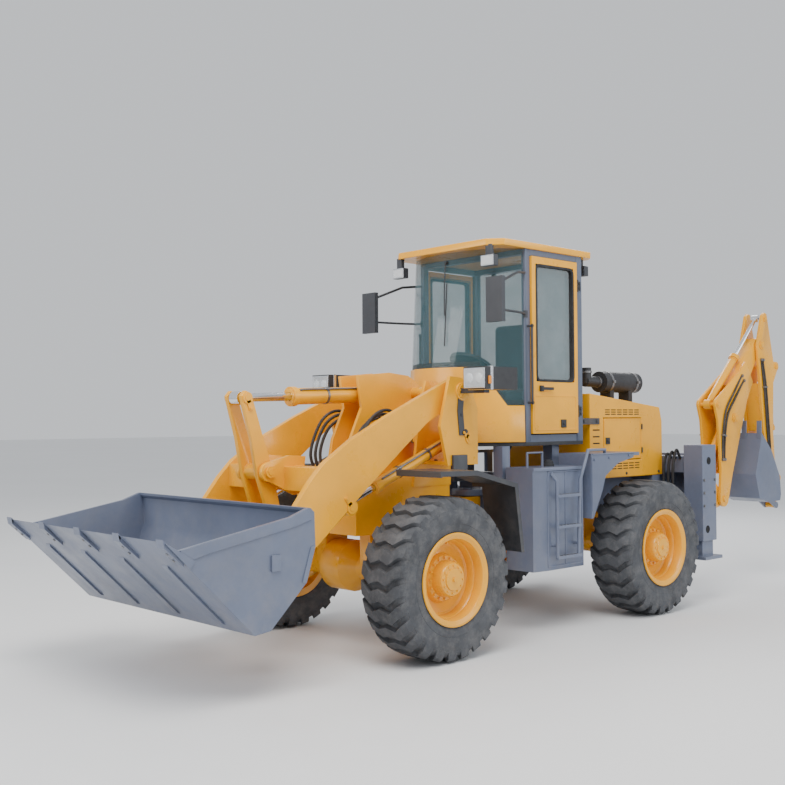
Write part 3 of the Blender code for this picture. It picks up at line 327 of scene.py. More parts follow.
def bolt_ring(bm, centre, way, radius, count, size=0.010, tall=0.008, turn=0.0):
    way = Vector(way).normalized()
    one = way.orthogonal().normalized()
    two = way.cross(one)
    for i in range(count):
        angle = turn + math.tau * i / count
        place = Vector(centre) + (one * math.cos(angle) + two * math.sin(angle)) * radius
        bolt(bm, place, way, size, tall)


def curve_points(points, steps=8):
    """A smooth line through points (Catmull-Rom)."""
    line = [Vector(p) for p in points]
    line = [line[0] * 2 - line[1]] + line + [line[-1] * 2 - line[-2]]
    made = []
    for i in range(1, len(line) - 2):
        a, b, c, d = line[i - 1:i + 3]
        for s in range(steps):
            t = s / steps
            made.append(0.5 * ((2 * b) + (c - a) * t + (2 * a - 5 * b + 4 * c - d) * t * t
                               + (3 * b - a - 3 * c + d) * t ** 3))
    made.append(line[-2])
    return made


def tube(bm, points, radius, sides=12, steps=8, smooth=True):
    """A round tube along points, with its ends closed."""
    line = curve_points(points, steps) if smooth else [Vector(p) for p in points]
    line = [at(*p) for p in line]
    way = (line[1] - line[0]).normalized()
    side = way.orthogonal().normalized()
    rings = []
    for i, place in enumerate(line):
        ahead = line[min(i + 1, len(line) - 1)] - line[max(i - 1, 0)]
        ahead.normalize()
        side = (side - ahead * side.dot(ahead)).normalized()
        up = ahead.cross(side)
        rings.append([bm.verts.new(place + (side * math.cos(a) + up * math.sin(a)) * radius)
                      for a in (math.tau * k / sides for k in range(sides))])
    for one, two in zip(rings, rings[1:]):
        for k in range(sides):
            bm.faces.new((one[k], one[(k + 1) % sides], two[(k + 1) % sides], two[k]))
    bm.faces.new(rings[0][::-1])
    bm.faces.new(rings[-1])


def prism(bm, outline, y):
    """An X, Z outline made solid over a range of Y."""
    rows = [[bm.verts.new(at(px, side, pz)) for px, pz in outline] for side in y]
    bm.faces.new(rows[0])
    bm.faces.new(rows[1][::-1])
    for i in range(len(outline)):
        j = (i + 1) % len(outline)
        bm.faces.new((rows[0][i], rows[1][i], rows[1][j], rows[0][j]))


def lathe(bm, profile, centre, sides, way=1):
    """An r, y profile turned about a cross axis through centre."""
    rings = []
    for r, y in profile:
        ring = [bm.verts.new(at(centre[0] + r * math.sin(a), centre[1] + way * y,
                                centre[2] + r * math.cos(a)))
                for a in (math.tau * (k + 0.5) / sides for k in range(sides))]
        rings.append(ring)
    for one, two in zip(rings, rings[1:]):
        for k in range(sides):
            bm.faces.new((one[k], one[(k + 1) % sides], two[(k + 1) % sides], two[k]))
    return rings


def node_copy(node, bevel, material, angle=30, repaint=()):
    """A rounded copy of a CAD node that stands for it.

    repaint lists (test of a face's centre and normal in the machine frame, material).
    """
    source = NODES[node]
    bm = bmesh.new()
    bm.from_mesh(source.data)
    bmesh.ops.remove_doubles(bm, verts=bm.verts, dist=0.00005)
    bmesh.ops.dissolve_limit(bm, angle_limit=math.radians(1.0), verts=bm.verts,
                             edges=bm.edges)
    bmesh.ops.triangulate(bm, faces=[f for f in bm.faces if len(f.verts) > 24])
    for index, (test, _) in enumerate(repaint, 1):
        for face in bm.faces:
            centre = face.calc_center_median()
            if test(centre.x - AXLE_X, centre.y, centre.z, face.normal):
                face.material_index = index
    mesh = bpy.data.meshes.new(node + "_shape")
    bm.to_mesh(mesh)
    bm.free()
    obj = bpy.data.objects.new(node + "_shape", mesh)
    OUT.objects.link(obj)
    mesh.materials.append(material)
    for _, other in repaint:
        mesh.materials.append(other)
    body = next(name for name, nodes in frame["record"]["behaviour"]["bodies"].items()
                if node in nodes)
    finish_piece(obj, body, bevel, angle)
    if bevel:
        obj.modifiers["edge"].use_clamp_overlap = True
    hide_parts(node)
    return obj


# ------------------------------------------------------------------ painted nodes
def lamp_zone(x, y, z, n):
    return -0.80 < x < -0.41 and abs(y) > 0.79 and z > 1.945


def lamp_arm(x, y, z, n):
    return -0.60 < x < -0.50 and abs(y) > 0.67 and z < 1.97


def mirror_zone(x, y, z, n):
    return x > -0.90 and z > 2.48


def rail_zone(x, y, z, n):
    return (abs(y) > 0.622 and z < 2.6) or (x > -1.36 and z > 2.6)


PAINTED = (               # node, bevel, material, repaint
    ("front_chassis", 0.004, YELLOW, ((lamp_zone, BLACK), (lamp_arm, DARK))),
    ("front_axle", 0.006, YELLOW, ()), ("rear_axle", 0.006, YELLOW, ()),
    ("front_fender_left", 0.003, DARK, ()), ("front_fender_right", 0.003, DARK, ()),
    ("loader_arms", 0.005, YELLOW, ()), ("bellcrank", 0.005, YELLOW, ()),
    ("bucket_link", 0.004, YELLOW, ()), ("loader_bucket", 0.003, GREY, ()),
    ("tilt_barrel", 0.003, YELLOW, ()), ("rear_chassis", 0.005, GREY, ()),
    ("engine_block", 0.010, IRON, ()), ("hood", 0.010, YELLOW, ()),
    ("hood_door_left", 0.004, YELLOW, ()), ("hood_door_right", 0.004, YELLOW, ()),
    ("air_cleaner", 0.008, BLACK, ()), ("side_tank_left", 0.004, GREY, ()),
    ("side_tank_right", 0.004, GREY, ()),
    ("cab_frame", 0.006, FRAME, ((mirror_zone, BLACK), (rail_zone, DARK))),
    ("cab_cowl", 0.004, YELLOW, ()), ("cab_roof", 0.012, YELLOW,
                                      ((lambda x, y, z, n: z < 3.145, DARK),)),
    ("cab_floor", 0.006, BLACK, ()), ("door_left", 0.006, YELLOW, ()),
    ("door_right", 0.006, YELLOW, ()), ("backhoe_frame", 0.006, GREY, ()),
    ("stabilizer_left", 0.004, GREY, ()), ("stabilizer_right", 0.004, GREY, ()),
    ("slide_carriage", 0.006, GREY, ()), ("swing_post", 0.005, YELLOW, ()),
    ("backhoe_boom", 0.005, YELLOW, ()), ("dipper", 0.005, YELLOW, ()),
    ("backhoe_bucket", 0.004, GREY, ()), ("bucket_rocker", 0.003, YELLOW, ()),
    ("push_link", 0.003, YELLOW, ()), ("boom_barrel", 0.003, YELLOW, ()),
    ("dipper_barrel", 0.003, YELLOW, ()), ("bucket_barrel", 0.003, YELLOW, ()),
    ("lift_left_barrel", 0.003, YELLOW, ()), ("lift_right_barrel", 0.003, YELLOW, ()))
for node, bevel, material, repaint in PAINTED:
    piece = node_copy(node, bevel, material, 30, repaint)
    if node == "loader_bucket":      # its sharp tips stay inside the CAD box once rounded
        depsgraph = bpy.context.evaluated_depsgraph_get()
        rounded = bpy.data.meshes.new_from_object(piece.evaluated_get(depsgraph))
        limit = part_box(node)[1][0]
        for vertex in rounded.vertices:
            vertex.co.x = min(vertex.co.x, limit)
        piece.modifiers.clear()
        piece.data = rounded
for node in ("tilt_rod", "lift_left_rod", "lift_right_rod", "boom_rod", "dipper_rod",
             "bucket_rod"):
    node_copy(node, 0.0015, CHROME)
for node in ("windshield", "rear_window", "door_glass_left", "door_glass_right"):
    NODES[node].data.materials.clear()
    NODES[node].data.materials.append(GLASS)


# ------------------------------------------------------------------ wheels
TYRE_R, HALF = (front_box[1][2] - front_box[0][2]) / 2, 0.205
WHEEL_Y = (front_box[0][1] + front_box[1][1]) / 2
rear_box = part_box("tyre_rear_left")
REAR_X = (rear_box[0][0] + rear_box[1][0]) / 2 - AXLE_X
LUGS = 26
TREAD = ((-0.202, 0.520, -0.40), (-0.196, 0.556, -0.36), (-0.165, 0.580, -0.26),
         (-0.085, 0.5865, 0.16), (0.0, 0.5875, -0.04), (0.085, 0.5865, 0.16),
         (0.165, 0.580, -0.26), (0.196, 0.556, -0.36), (0.202, 0.520, -0.40))


def tyre(name, centre, body):
    bm = bmesh.new()
    profile = [(0.3065, -0.165), (0.325, -0.182), (0.36, -0.193), (0.42, -0.200),
               (0.475, -0.2035), (0.515, -0.198), (0.540, -0.180), (0.552, -0.14),
               (0.556, -0.07), (0.557, 0.0)]
    profile += [(r, -y) for r, y in profile[-2::-1]]
    rings = lathe(bm, profile, centre, 104)
    for k in range(104):
        j = (k + 1) % 104
        bm.faces.new((rings[-1][k], rings[-1][j], rings[0][j], rings[0][k]))
    pitch = math.tau / LUGS
    for i in range(LUGS):
        rows = []
        for y, top, shift in TREAD:
            low = top - 0.036
            ring = []
            for r, wide in ((low, 0.35), (top, 0.285)):
                for sign in (-1, 1):
                    a = (i + shift + sign * wide) * pitch
                    ring.append(bm.verts.new(at(centre[0] + r * math.sin(a), centre[1] + y,
                                                centre[2] + r * math.cos(a))))
            rows.append((ring[0], ring[1], ring[3], ring[2]))
        for one, two in zip(rows, rows[1:]):
            for k in range(4):
                j = (k + 1) % 4
                bm.faces.new((one[k], one[j], two[j], two[k]))
        bm.faces.new(rows[0])
        bm.faces.new(rows[-1][::-1])
    for r in (0.345, 0.40, 0.505):
        for side in (-1, 1):
            lathe_ring(bm, centre, r, side)
    obj = emit(name + "_tread", bm, TYRE, body, 0.0, 38)
    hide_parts(name)


def lathe_ring(bm, centre, r, side):
    """A moulded rib round a tyre's side."""
    y = {0.345: 0.187, 0.40: 0.1955, 0.505: 0.1985}[r]
    ring = lathe(bm, [(r - 0.006, y - 0.004), (r - 0.002, y + 0.004), (r + 0.002, y + 0.004),
                      (r + 0.006, y - 0.004)], centre, 72, side)
    for k in range(72):
        j = (k + 1) % 72
        bm.faces.new((ring[-1][k], ring[-1][j], ring[0][j], ring[0][k]))


RIM = ((0.0, -0.2035), (0.118, -0.2035), (0.119, -0.02), (0.255, -0.008), (0.272, -0.03),
       (0.283, -0.19), (0.330, -0.199), (0.334, -0.196), (0.334, -0.190), (0.322, -0.186),
       (0.3025, -0.170), (0.3025, 0.170), (0.322, 0.186), (0.334, 0.190), (0.334, 0.197),
       (0.329, 0.2015), (0.318, 0.2015), (0.308, 0.196), (0.298, 0.190), (0.290, 0.186),
       (0.283, 0.17), (0.280, 0.11), (0.268, 0.095), (0.264, 0.05), (0.250, 0.037),
       (0.19, 0.032), (0.178, 0.038), (0.170, 0.066), (0.160, 0.076), (0.132, 0.079),
       (0.128, 0.086), (0.124, 0.150), (0.114, 0.163), (0.080, 0.166), (0.076, 0.176),
       (0.050, 0.179), (0.0, 0.179))


def rim(name, centre, side, body):
    bm = bmesh.new()
    lathe(bm, RIM, centre, 80, side)
    bmesh.ops.remove_doubles(bm, verts=bm.verts, dist=0.0001)
    obj = emit(name + "_disc", bm, YELLOW, body, 0.0, 35)
    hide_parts(name)
    bm = bmesh.new()
    x, y, z = centre
    bolt_ring(bm, (x, y + side * 0.075, z), (0, side, 0), 0.148, 16, 0.0095, 0.015)
    bolt_ring(bm, (x, y + side * 0.163, z), (0, side, 0), 0.097, 12, 0.0075, 0.010, 0.2)
    bolt(bm, (x, y + side * 0.178, z), (0, side, 0), 0.016, 0.012)
    bar(bm, (x, y + side * 0.05, z + 0.262), (x, y + side * 0.11, z + 0.250), 0.006, 12)
    emit(name + "_bolts", bm, YELLOW, body, 0.0, 35)


for axle, x in (("front", 0.0), ("rear", REAR_X)):
    for hand, side in SIDES:
        centre = (x, side * WHEEL_Y, TYRE_R)
        tyre(f"tyre_{axle}_{hand}", centre, f"wheel_{axle}_{hand}")
        rim(f"rim_{axle}_{hand}", centre, side, f"wheel_{axle}_{hand}")


# ------------------------------------------------------------------ pins and rams
def both(side, values):
    return tuple(sorted(side * v for v in values))


def cap(bm, point, y, side, r, tall=0.010, bolts=3):
    """A pin cap: a stepped disc with bolts, on a cross axis."""
    x, z = point
    bar(bm, (x, y, z), (x, y + side * tall, z), r, 32)
    bar(bm, (x, y + side * tall * 0.9, z), (x, y + side * tall * 1.5, z), r * 0.55, 24)
    if bolts:
        bolt_ring(bm, (x, y + side * tall, z), (0, side, 0), r * 0.76, bolts, r * 0.13,
                  r * 0.10, 0.5)


def keeper(bm, point, y, side, angle, reach=0.075):
    """A keeper bar beside a pin, held by one bolt."""
    x, z = point
    dx, dz = math.cos(angle), math.sin(angle)
    ends = [(x + dx * 0.02, z + dz * 0.02), (x + dx * reach, z + dz * reach)]
    wide = (-dz * 0.016, dx * 0.016)
    prism(bm, [(ends[0][0] + wide[0], ends[0][1] + wide[1]),
               (ends[1][0] + wide[0], ends[1][1] + wide[1]),
               (ends[1][0] - wide[0], ends[1][1] - wide[1]),
               (ends[0][0] - wide[0], ends[0][1] - wide[1])], (y, y + side * 0.008))
    bolt(bm, (ends[1][0] - dx * 0.015, y + side * 0.008, ends[1][1] - dz * 0.015),
         (0, side, 0), 0.009, 0.009)


def pins(name, body, material, rows):
    """rows: point, outer |Y| from middle, middle Y, radius, bolts, keeper angle or None."""
    bm = bmesh.new()
    for point, reach, middle, r, bolts, turn in rows:
        for side in (-1, 1):
            y = middle + side * reach
            cap(bm, point, y, side, r, 0.008, bolts)
            if turn is not None:
                keeper(bm, point, y, side, turn, r + 0.055)
    emit(name, bm, material, body, 0.0, 35)


def along(a, b, distance):
    a, b = Vector((a[0], 0, a[1])), Vector((b[0], 0, b[1]))
    return a + (b - a).normalized() * distance


def gland(name, body, a, b, y, length, radius, pipe=1):
    """Gland flange, end ring, weld collar and oil pipe of a ram's barrel."""
    bm = bmesh.new()
    side = Vector((0, y, 0))
    way = (along(a, b, 1.0) - along(a, b, 0.0)).normalized()
    bar(bm, along(a, b, length - 0.05) + side, along(a, b, length - 0.004) + side,
        radius + 0.012, 40)
    bar(bm, along(a, b, length - 0.066) + side, along(a, b, length - 0.054) + side,
        radius + 0.005, 40)
    bolt_ring(bm, along(a, b, length - 0.004) + side, way, radius + 0.001, 8, 0.0055, 0.006)
    emit(name + "_gland", bm, YELLOW, body, 0.002, 35)
    if not pipe:
        return
    bm = bmesh.new()
    up = Vector((-way.z, 0, way.x))
    if up.z < 0:
        up = -up
    lift = up * (radius * 0.72 + 0.006) + Vector((0, pipe * (radius * 0.72 + 0.006), 0))
    near = up * (radius * 0.6) + Vector((0, pipe * radius * 0.6, 0))
    start, stop = 0.10, length - 0.09
    line = [along(a, b, start) + side + near, along(a, b, start + 0.02) + side + lift,
            along(a, b, (start + stop) / 2) + side + lift,
            along(a, b, stop - 0.02) + side + lift, along(a, b, stop) + side + near]
    tube(bm, line, 0.0075, 12, 6)
    for part_way in (0.3, 0.75):
        place = along(a, b, start + (stop - start) * part_way) + side
        band(bm, place, way, radius - 0.002, radius + 0.0035, 0.010)
        bar(bm, place + lift - way * 0.014, place + lift + way * 0.014, 0.013, 12)
    emit(name + "_pipe", bm, STEEL, body, 0.0, 35)


ARM_PIVOT, LIFT_BASE, LIFT_PIN = (-0.56, 1.94), (-0.64, 1.575), (0.515, 1.10)
CRANK_PIVOT, CRANK_TOP, CRANK_LOW = (0.93, 1.355), (1.085, 1.888), (0.72, 0.86)
LINK_END, BUCKET_PIVOT = (1.13, 0.95), (1.14, 0.62)
DIG_Y = 0.60
BOOM_FOOT, BOOM_BASE, BOOM_PIN = (-4.37, 0.90), (-4.135, 1.13), (-4.59, 1.72)
BOOM_TIP, DIP_BASE, DIP_PIN = (-5.17, 2.50), (-4.27, 1.86), (-5.25, 2.79)
DIG_PIVOT, CROWD_BASE = (-5.40, 0.92), (-5.49, 2.28)
ROCKER_PIVOT, ROCKER_END, PUSH_END = (-5.36, 1.24), (-5.60, 1.06), (-5.529, 0.767)

pins("tower_pins", "front_frame", YELLOW,
     ((ARM_PIVOT, 0.665, 0, 0.055, 4, None), (LIFT_BASE, 0.650, 0, 0.042, 0, 0.6)))
pins("arm_pins", "arms", YELLOW,
     ((LIFT_PIN, 0.580, 0, 0.045, 0, 0.9), (CRANK_PIVOT, 0.175, 0, 0.042, 3, None)))
pins("crank_pins", "crank", YELLOW,
     ((CRANK_TOP, 0.110, 0, 0.040, 0, -1.9), (CRANK_LOW, 0.120, 0, 0.036, 3, None)))
pins("shovel_pins", "shovel", STEEL, ((BUCKET_PIVOT, 0.635, 0, 0.038, 3, None),))
gland("tilt", "tilt_cylinder", ARM_PIVOT, CRANK_TOP, 0.0, 1.19, 0.0625, 1)
for hand, side in SIDES:
    gland(f"lift_{hand}", f"lift_cylinder_{hand}", LIFT_BASE, LIFT_PIN, side * 0.47, 0.92,
          0.045, side)

# ------------------------------------------------------------------ loader detail
bm = bmesh.new()
for side in (-1, 1):
    for z in (1.22, 1.39):
        tube(bm, [(0.60, side * 0.528, z), (0.80, side * 0.528, z)], 0.006, 8, 2)
    for x in (0.60, 0.80):
        tube(bm, [(x, side * 0.528, 1.22), (x, side * 0.528, 1.39)], 0.006, 8, 2)
    tube(bm, [(0.70, side * 0.163, 1.392), (0.62, side * 0.163, 1.392)], 0.006, 8, 2)
    # doubling plates round the bucket end of the arm
    for x, z, r in ((ARM_PIVOT[0], ARM_PIVOT[1], 0.0), (BUCKET_PIVOT[0], BUCKET_PIVOT[1], 0.085)):
        if r:
            bar(bm, (x, side * 0.580, z), (x, side * 0.5865, z), r, 36)
emit("arm_welds", bm, YELLOW, "arms", 0.0, 35)

bm = bmesh.new()
for side in (-1, 1):
    for z, x in ((1.76, -0.55), (1.63, -0.60)):
        bolt(bm, (x, side * 0.650, z), (0, side, 0), 0.014, 0.013)
    prism(bm, [(-0.585, 1.60), (-0.525, 1.60), (-0.505, 1.79), (-0.52, 1.93), (-0.58, 1.93),
               (-0.565, 1.79)], both(side, (0.6502, 0.658)))
    for x in (-0.66, -0.50):
        bolt(bm, (x, side * 0.585, 1.400), (0, 0, 1), 0.012, 0.010)
        bolt(bm, (x, side * 0.42, 1.400), (0, 0, 1), 0.012, 0.010)
emit("lamp_brackets", bm, DARK, "front_frame", 0.0, 35)

for hand, side in SIDES:
    bm = bmesh.new()
    block(bm, (-0.424, -0.412), both(side, (0.808, 1.022)), (1.958, 2.112))
    block(bm, (-0.50, -0.47), both(side, (0.796, 1.034)), (1.946, 2.124))
    emit(f"headlamp_rim_{hand}", bm, CHROME, "front_frame", 0.004, 35)
    bm = bmesh.new()
    for y in (0.868, 0.962):
        lathe_x = [(0.040, -0.4115), (0.036, -0.407), (0.020, -0.4045), (0.0, -0.404)]
        for (r0, x0), (r1, x1) in zip(lathe_x, lathe_x[1:]):
            bar(bm, (x0, side * y, 2.035), (x1, side * y, 2.035), r0, 32, r1)
    block(bm, (-0.412, -0.409), both(side, (0.818, 1.012)), (1.968, 2.102))
    emit(f"headlamp_lens_{hand}", bm, LENS, "front_frame", 0.0, 35)
    bm = bmesh.new()
    block(bm, (-0.47, -0.44), both(side, (1.030, 1.044)), (1.99, 2.05))
    emit(f"indicator_{hand}", bm, AMBER, "front_frame", 0.004, 35)

    # turned-down outer edge of the front fender
    bm = bmesh.new()
    top = [(0.16, 1.36), (-0.22, 1.355), (-0.67, 1.24), (-0.74, 0.72)]
    low = [(0.157, 1.322), (-0.215, 1.317), (-0.635, 1.212), (-0.703, 0.72)]
    prism(bm, top + low[::-1], both(side, (1.112, 1.1195)))
    prism(bm, [(0.16, 1.3605), (0.145, 1.3605), (0.142, 1.315), (0.157, 1.315)],
          both(side, (0.662, 1.119)))
    bolt(bm, (-0.50, side * 0.70, 1.302), (0.1, 0, 1), 0.010, 0.009)
    emit(f"fender_edge_{hand}", bm, DARK, "front_frame", 0.0015, 35)

# hoses held by the tower at both ends
bm = bmesh.new()
for side in (-1, 1):
    for k, y in enumerate((0.20, 0.245, 0.29)):
        y *= side
        tube(bm, [(-0.36, y, 1.565), (-0.27, y, 1.66 + 0.02 * k), (-0.10, y, 1.74 + 0.03 * k),
                  (0.08, y, 1.66 + 0.03 * k), (0.17 + 0.012 * k, y, 1.47), (0.13, y, 1.285)],
             0.0125, 12, 8)
emit("tower_hoses", bm, HOSE, "front_frame", 0.0, 35)
bm = bmesh.new()
for side in (-1, 1):
    for k, y in enumerate((0.20, 0.245, 0.29)):
        y *= side
        bar(bm, (-0.375, y, 1.552), (-0.345, y, 1.578), 0.017, 6)
        bar(bm, (0.13, y, 1.276), (0.13, y, 1.305), 0.017, 6)
    block(bm, (0.09, 0.17), both(side, (0.175, 0.315)), (1.2795, 1.288))
    block(bm, (-0.12, -0.08), both(side, (0.17, 0.32)), (1.752, 1.757))
emit("tower_fittings", bm, STEEL, "front_frame", 0.0, 35)

# loader bucket: wear ribs, side bands, weld bars, brackets, tooth bolts
FLOOR_A, FLOOR_B = Vector((1.70, 0.425)), Vector((2.329, 1.041))
floor_way = (FLOOR_B - FLOOR_A).normalized()
floor_out = Vector((floor_way.y, -floor_way.x))


def on_floor(distance, out):
    return FLOOR_A + floor_way * distance + floor_out * out


bm = bmesh.new()
for y in (-0.78, -0.26, 0.26, 0.78):
    prism(bm, [on_floor(0.06, 0), on_floor(0.64, 0), on_floor(0.62, 0.012),
               on_floor(0.08, 0.012)], (y - 0.03, y + 0.03))
for side in (-1, 1):
    band = [(2.225, 0.986), (2.051, 1.014), (1.429, 1.123), (1.297, 1.170),
            (1.262, 1.100), (1.40, 1.062), (2.03, 0.952), (2.18, 0.918)]
    prism(bm, band, both(side, (1.0548, 1.0635)))
    prism(bm, [(1.232, 0.934), (1.27, 0.925), (1.340, 0.71), (1.306, 0.702)],
          both(side, (1.0548, 1.0605)))
    block(bm, (1.51, 1.58), both(side, (1.0548, 1.068)), (0.80, 0.90))
    prism(bm, [(2.16, 0.872), (2.325, 1.035), (2.232, 0.983), (2.13, 0.92)],
          both(side, (1.0548, 1.070)))
for x, z in ((1.2395, 1.143), (1.2315, 0.934), (1.306, 0.702)):
    tube(bm, [(x, -1.05, z), (x, 1.05, z)], 0.0055, 8, 2)
emit("shovel_ribs", bm, GREY, "shovel", 0.0015, 35)
bm = bmesh.new()
for i in range(5):
    y = (1.055 - 0.04) * (i / 2 - 1)
    for d in (0.735, 0.795):
        place = on_floor(d, 0.0)
        way = floor_out
        bolt(bm, (place.x + way.x * 0.012, y, place.y + way.y * 0.012), (way.x, 0, way.y),
             0.011, 0.012)
emit("tooth_bolts", bm, STEEL, "shovel", 0.0, 35)

# ------------------------------------------------------------------ cab
def rounded_loop(x, z, r, n=5):
    """Corner points of a rounded rectangle in X, Z."""
    made = []
    for cx, cz, start in ((x[1] - r, z[1] - r, 0), (x[0] + r, z[1] - r, 90),
                          (x[0] + r, z[0] + r, 180), (x[1] - r, z[0] + r, 270)):
        for k in range(n + 1):
            a = math.radians(start + 90 * k / n)
            made.append((cx + r * math.cos(a), cz + r * math.sin(a)))
    return made


def ring_plate(bm, x, z, r, wide, y):
    """A flat rounded frame."""
    outer = rounded_loop(x, z, r)
    inner = rounded_loop((x[0] + wide, x[1] - wide), (z[0] + wide, z[1] - wide),
                         max(r - wide, 0.004))
    rows = [[bm.verts.new(at(px, side, pz)) for px, pz in line]
            for side in y for line in (outer, inner)]
    count = len(outer)
    for one, two in ((0, 1), (1, 3), (3, 2), (2, 0)):
        for k in range(count):
            j = (k + 1) % count
            bm.faces.new((rows[one][k], rows[one][j], rows[two][j], rows[two][k]))


for hand, side in SIDES:
    body = f"door_leaf_{hand}"
    bm = bmesh.new()
    ring_plate(bm, (-2.003, -1.482), (2.037, 3.033), 0.055, 0.022, both(side, (0.602, 0.6425)))
    emit(f"door_gasket_{hand}", bm, SEAL, body, 0.002, 35)
    bm = bmesh.new()
    block(bm, (-1.685, -1.525), both(side, (0.654, 0.667)), (1.968, 1.992))
    block(bm, (-1.560, -1.520), both(side, (0.640, 0.660)), (1.955, 2.005))
    block(bm, (-1.875, -1.805), both(side, (0.6395, 0.650)), (1.648, 1.718))
    bar(bm, (-1.84, side * 0.649, 1.683), (-1.84, side * 0.656, 1.683), 0.014, 20)
    emit(f"door_handle_{hand}", bm, BLACK, body, 0.004, 35)
    bm = bmesh.new()
    ring_plate(bm, (-2.025, -1.455), (1.625, 1.925), 0.03, 0.012, both(side, (0.6395, 0.643)))
    emit(f"door_press_{hand}", bm, YELLOW, body, 0.0015, 35)
    bm = bmesh.new()
    for z in (1.75, 2.85):
        bar(bm, (-2.062, side * 0.632, z - 0.012), (-2.062, side * 0.632, z + 0.092), 0.011, 20)
        block(bm, (-2.115, -2.062), both(side, (0.6205, 0.630)), (z, z + 0.08))
        bolt(bm, (-2.095, side * 0.630, z + 0.02), (0, side, 0), 0.008, 0.007)
        bolt(bm, (-2.095, side * 0.630, z + 0.06), (0, side, 0), 0.008, 0.007)
    for z in (1.86, 2.50):
        bolt(bm, (-1.40, side * 0.665, z), (0, side, 0), 0.013, 0.012)
    emit(f"door_hinges_{hand}", bm, BLACK, "rear_frame", 0.002, 35)

    # mirror, with its clamp
    bm = bmesh.new()
    block(bm, (-0.875, -0.836), both(side, (0.661, 0.829)), (2.498, 2.856))
    obj = emit(f"mirror_shell_{hand}", bm, BLACK, "rear_frame", 0.017, 35)
    obj.modifiers["edge"].segments = 4
    bm = bmesh.new()
    ring = rounded_loop((0.672, 0.818), (2.510, 2.845), 0.018)
    rows = [[bm.verts.new(at(x, side * y, z)) for y, z in ring] for x in (-0.8752, -0.8775)]
    bm.faces.new(rows[0])
    bm.faces.new(rows[1][::-1])
    for k in range(len(ring)):
        j = (k + 1) % len(ring)
        bm.faces.new((rows[0][k], rows[1][k], rows[1][j], rows[0][j]))
    emit(f"mirror_glass_{hand}", bm, MIRROR, "rear_frame", 0.0, 35)
    bm = bmesh.new()
    tube(bm, [(-1.385, side * 0.605, 2.60), (-1.20, side * 0.69, 2.60),
              (-0.88, side * 0.745, 2.60)], 0.010, 12, 6)
    bar(bm, (-0.866, side * 0.745, 2.55), (-0.866, side * 0.745, 2.86), 0.009, 14)
    block(bm, (-1.395, -1.365), both(side, (0.595, 0.625)), (2.57, 2.63))
    emit(f"mirror_arm_{hand}", bm, DARK, "rear_frame", 0.0, 35)

    # work lights
    bm = bmesh.new()
    block(bm, (-1.0, -0.9965), both(side, (0.462, 0.598)), (2.982, 3.068))
    bar(bm, (-2.300, side * 0.52, 3.045), (-2.306, side * 0.52, 3.045), 0.041, 36)
    emit(f"work_light_rim_{hand}", bm, CHROME, "rear_frame", 0.0012, 35)
    bm = bmesh.new()
    block(bm, (-0.9968, -0.9945), both(side, (0.471, 0.589)), (2.991, 3.059))
    bar(bm, (-2.305, side * 0.52, 3.045), (-2.311, side * 0.52, 3.045), 0.035, 36, 0.028)
    emit(f"work_light_lens_{hand}", bm, LENS, "rear_frame", 0.0, 35)
    # bracket between cab and hood
    bm = bmesh.new()
    block(bm, (-2.43, -2.15), both(side, (0.5805, 0.590)), (1.672, 1.728))
    for x in (-2.39, -2.20):
        bolt(bm, (x, side * 0.590, 1.70), (0, side, 0), 0.013, 0.012)
    emit(f"hood_bracket_{hand}", bm, IRON, "rear_frame", 0.0, 35)

# black band along the windshield's lower edge
GLASS_LOW = ((-1.369, 0.595, 1.84), (-1.24, 0.52, 1.84), (-1.04, 0.39, 2.16),
             (-0.93, 0.22, 2.16), (-0.89, 0.0, 2.16))
wrap = [Vector(p) for p in GLASS_LOW] + [Vector((x, -y, z)) for x, y, z in GLASS_LOW[-2::-1]]
bm = bmesh.new()
rows = []
for lift, up in ((0.0, 0.0), (0.004, 0.0), (0.004, 0.042), (0.0, 0.042)):
    row = []
    for p in wrap:
        out = Vector((p.x + 1.7, p.y, 0)).normalized()
        row.append(bm.verts.new(at(p.x + out.x * lift - 0.19 * up, p.y + out.y * lift,
                                   p.z + up)))
    rows.append(row)
for one, two in ((0, 1), (1, 2), (2, 3), (3, 0)):
    for k in range(len(wrap) - 1):
        bm.faces.new((rows[one][k], rows[one][k + 1], rows[two][k + 1], rows[two][k]))
for k in (0, -1):
    bm.faces.new([row[k] for row in rows])
emit("windshield_band", bm, SEAL, "rear_frame", 0.0, 35)

# wiper on the windshield
bm = bmesh.new()


def glass_x(z, lift=0.0):
    return -0.89 - 0.185 * (z - 2.16) / 0.988 + lift


bar(bm, (glass_x(3.06, -0.01), 0.02, 3.06), (glass_x(3.06, 0.026), 0.02, 3.065), 0.016, 20)
tube(bm, [(glass_x(3.06, 0.024), 0.02, 3.06), (glass_x(2.85, 0.028), 0.05, 2.85),
          (glass_x(2.60, 0.020), 0.085, 2.60)], 0.006, 10, 4)
tube(bm, [(glass_x(2.88, 0.006), 0.052, 2.88), (glass_x(2.60, 0.008), 0.088, 2.60),
          (glass_x(2.34, 0.004), 0.115, 2.34)], 0.006, 10, 4)
emit("wiper", bm, BLACK, "rear_frame", 0.0, 35)

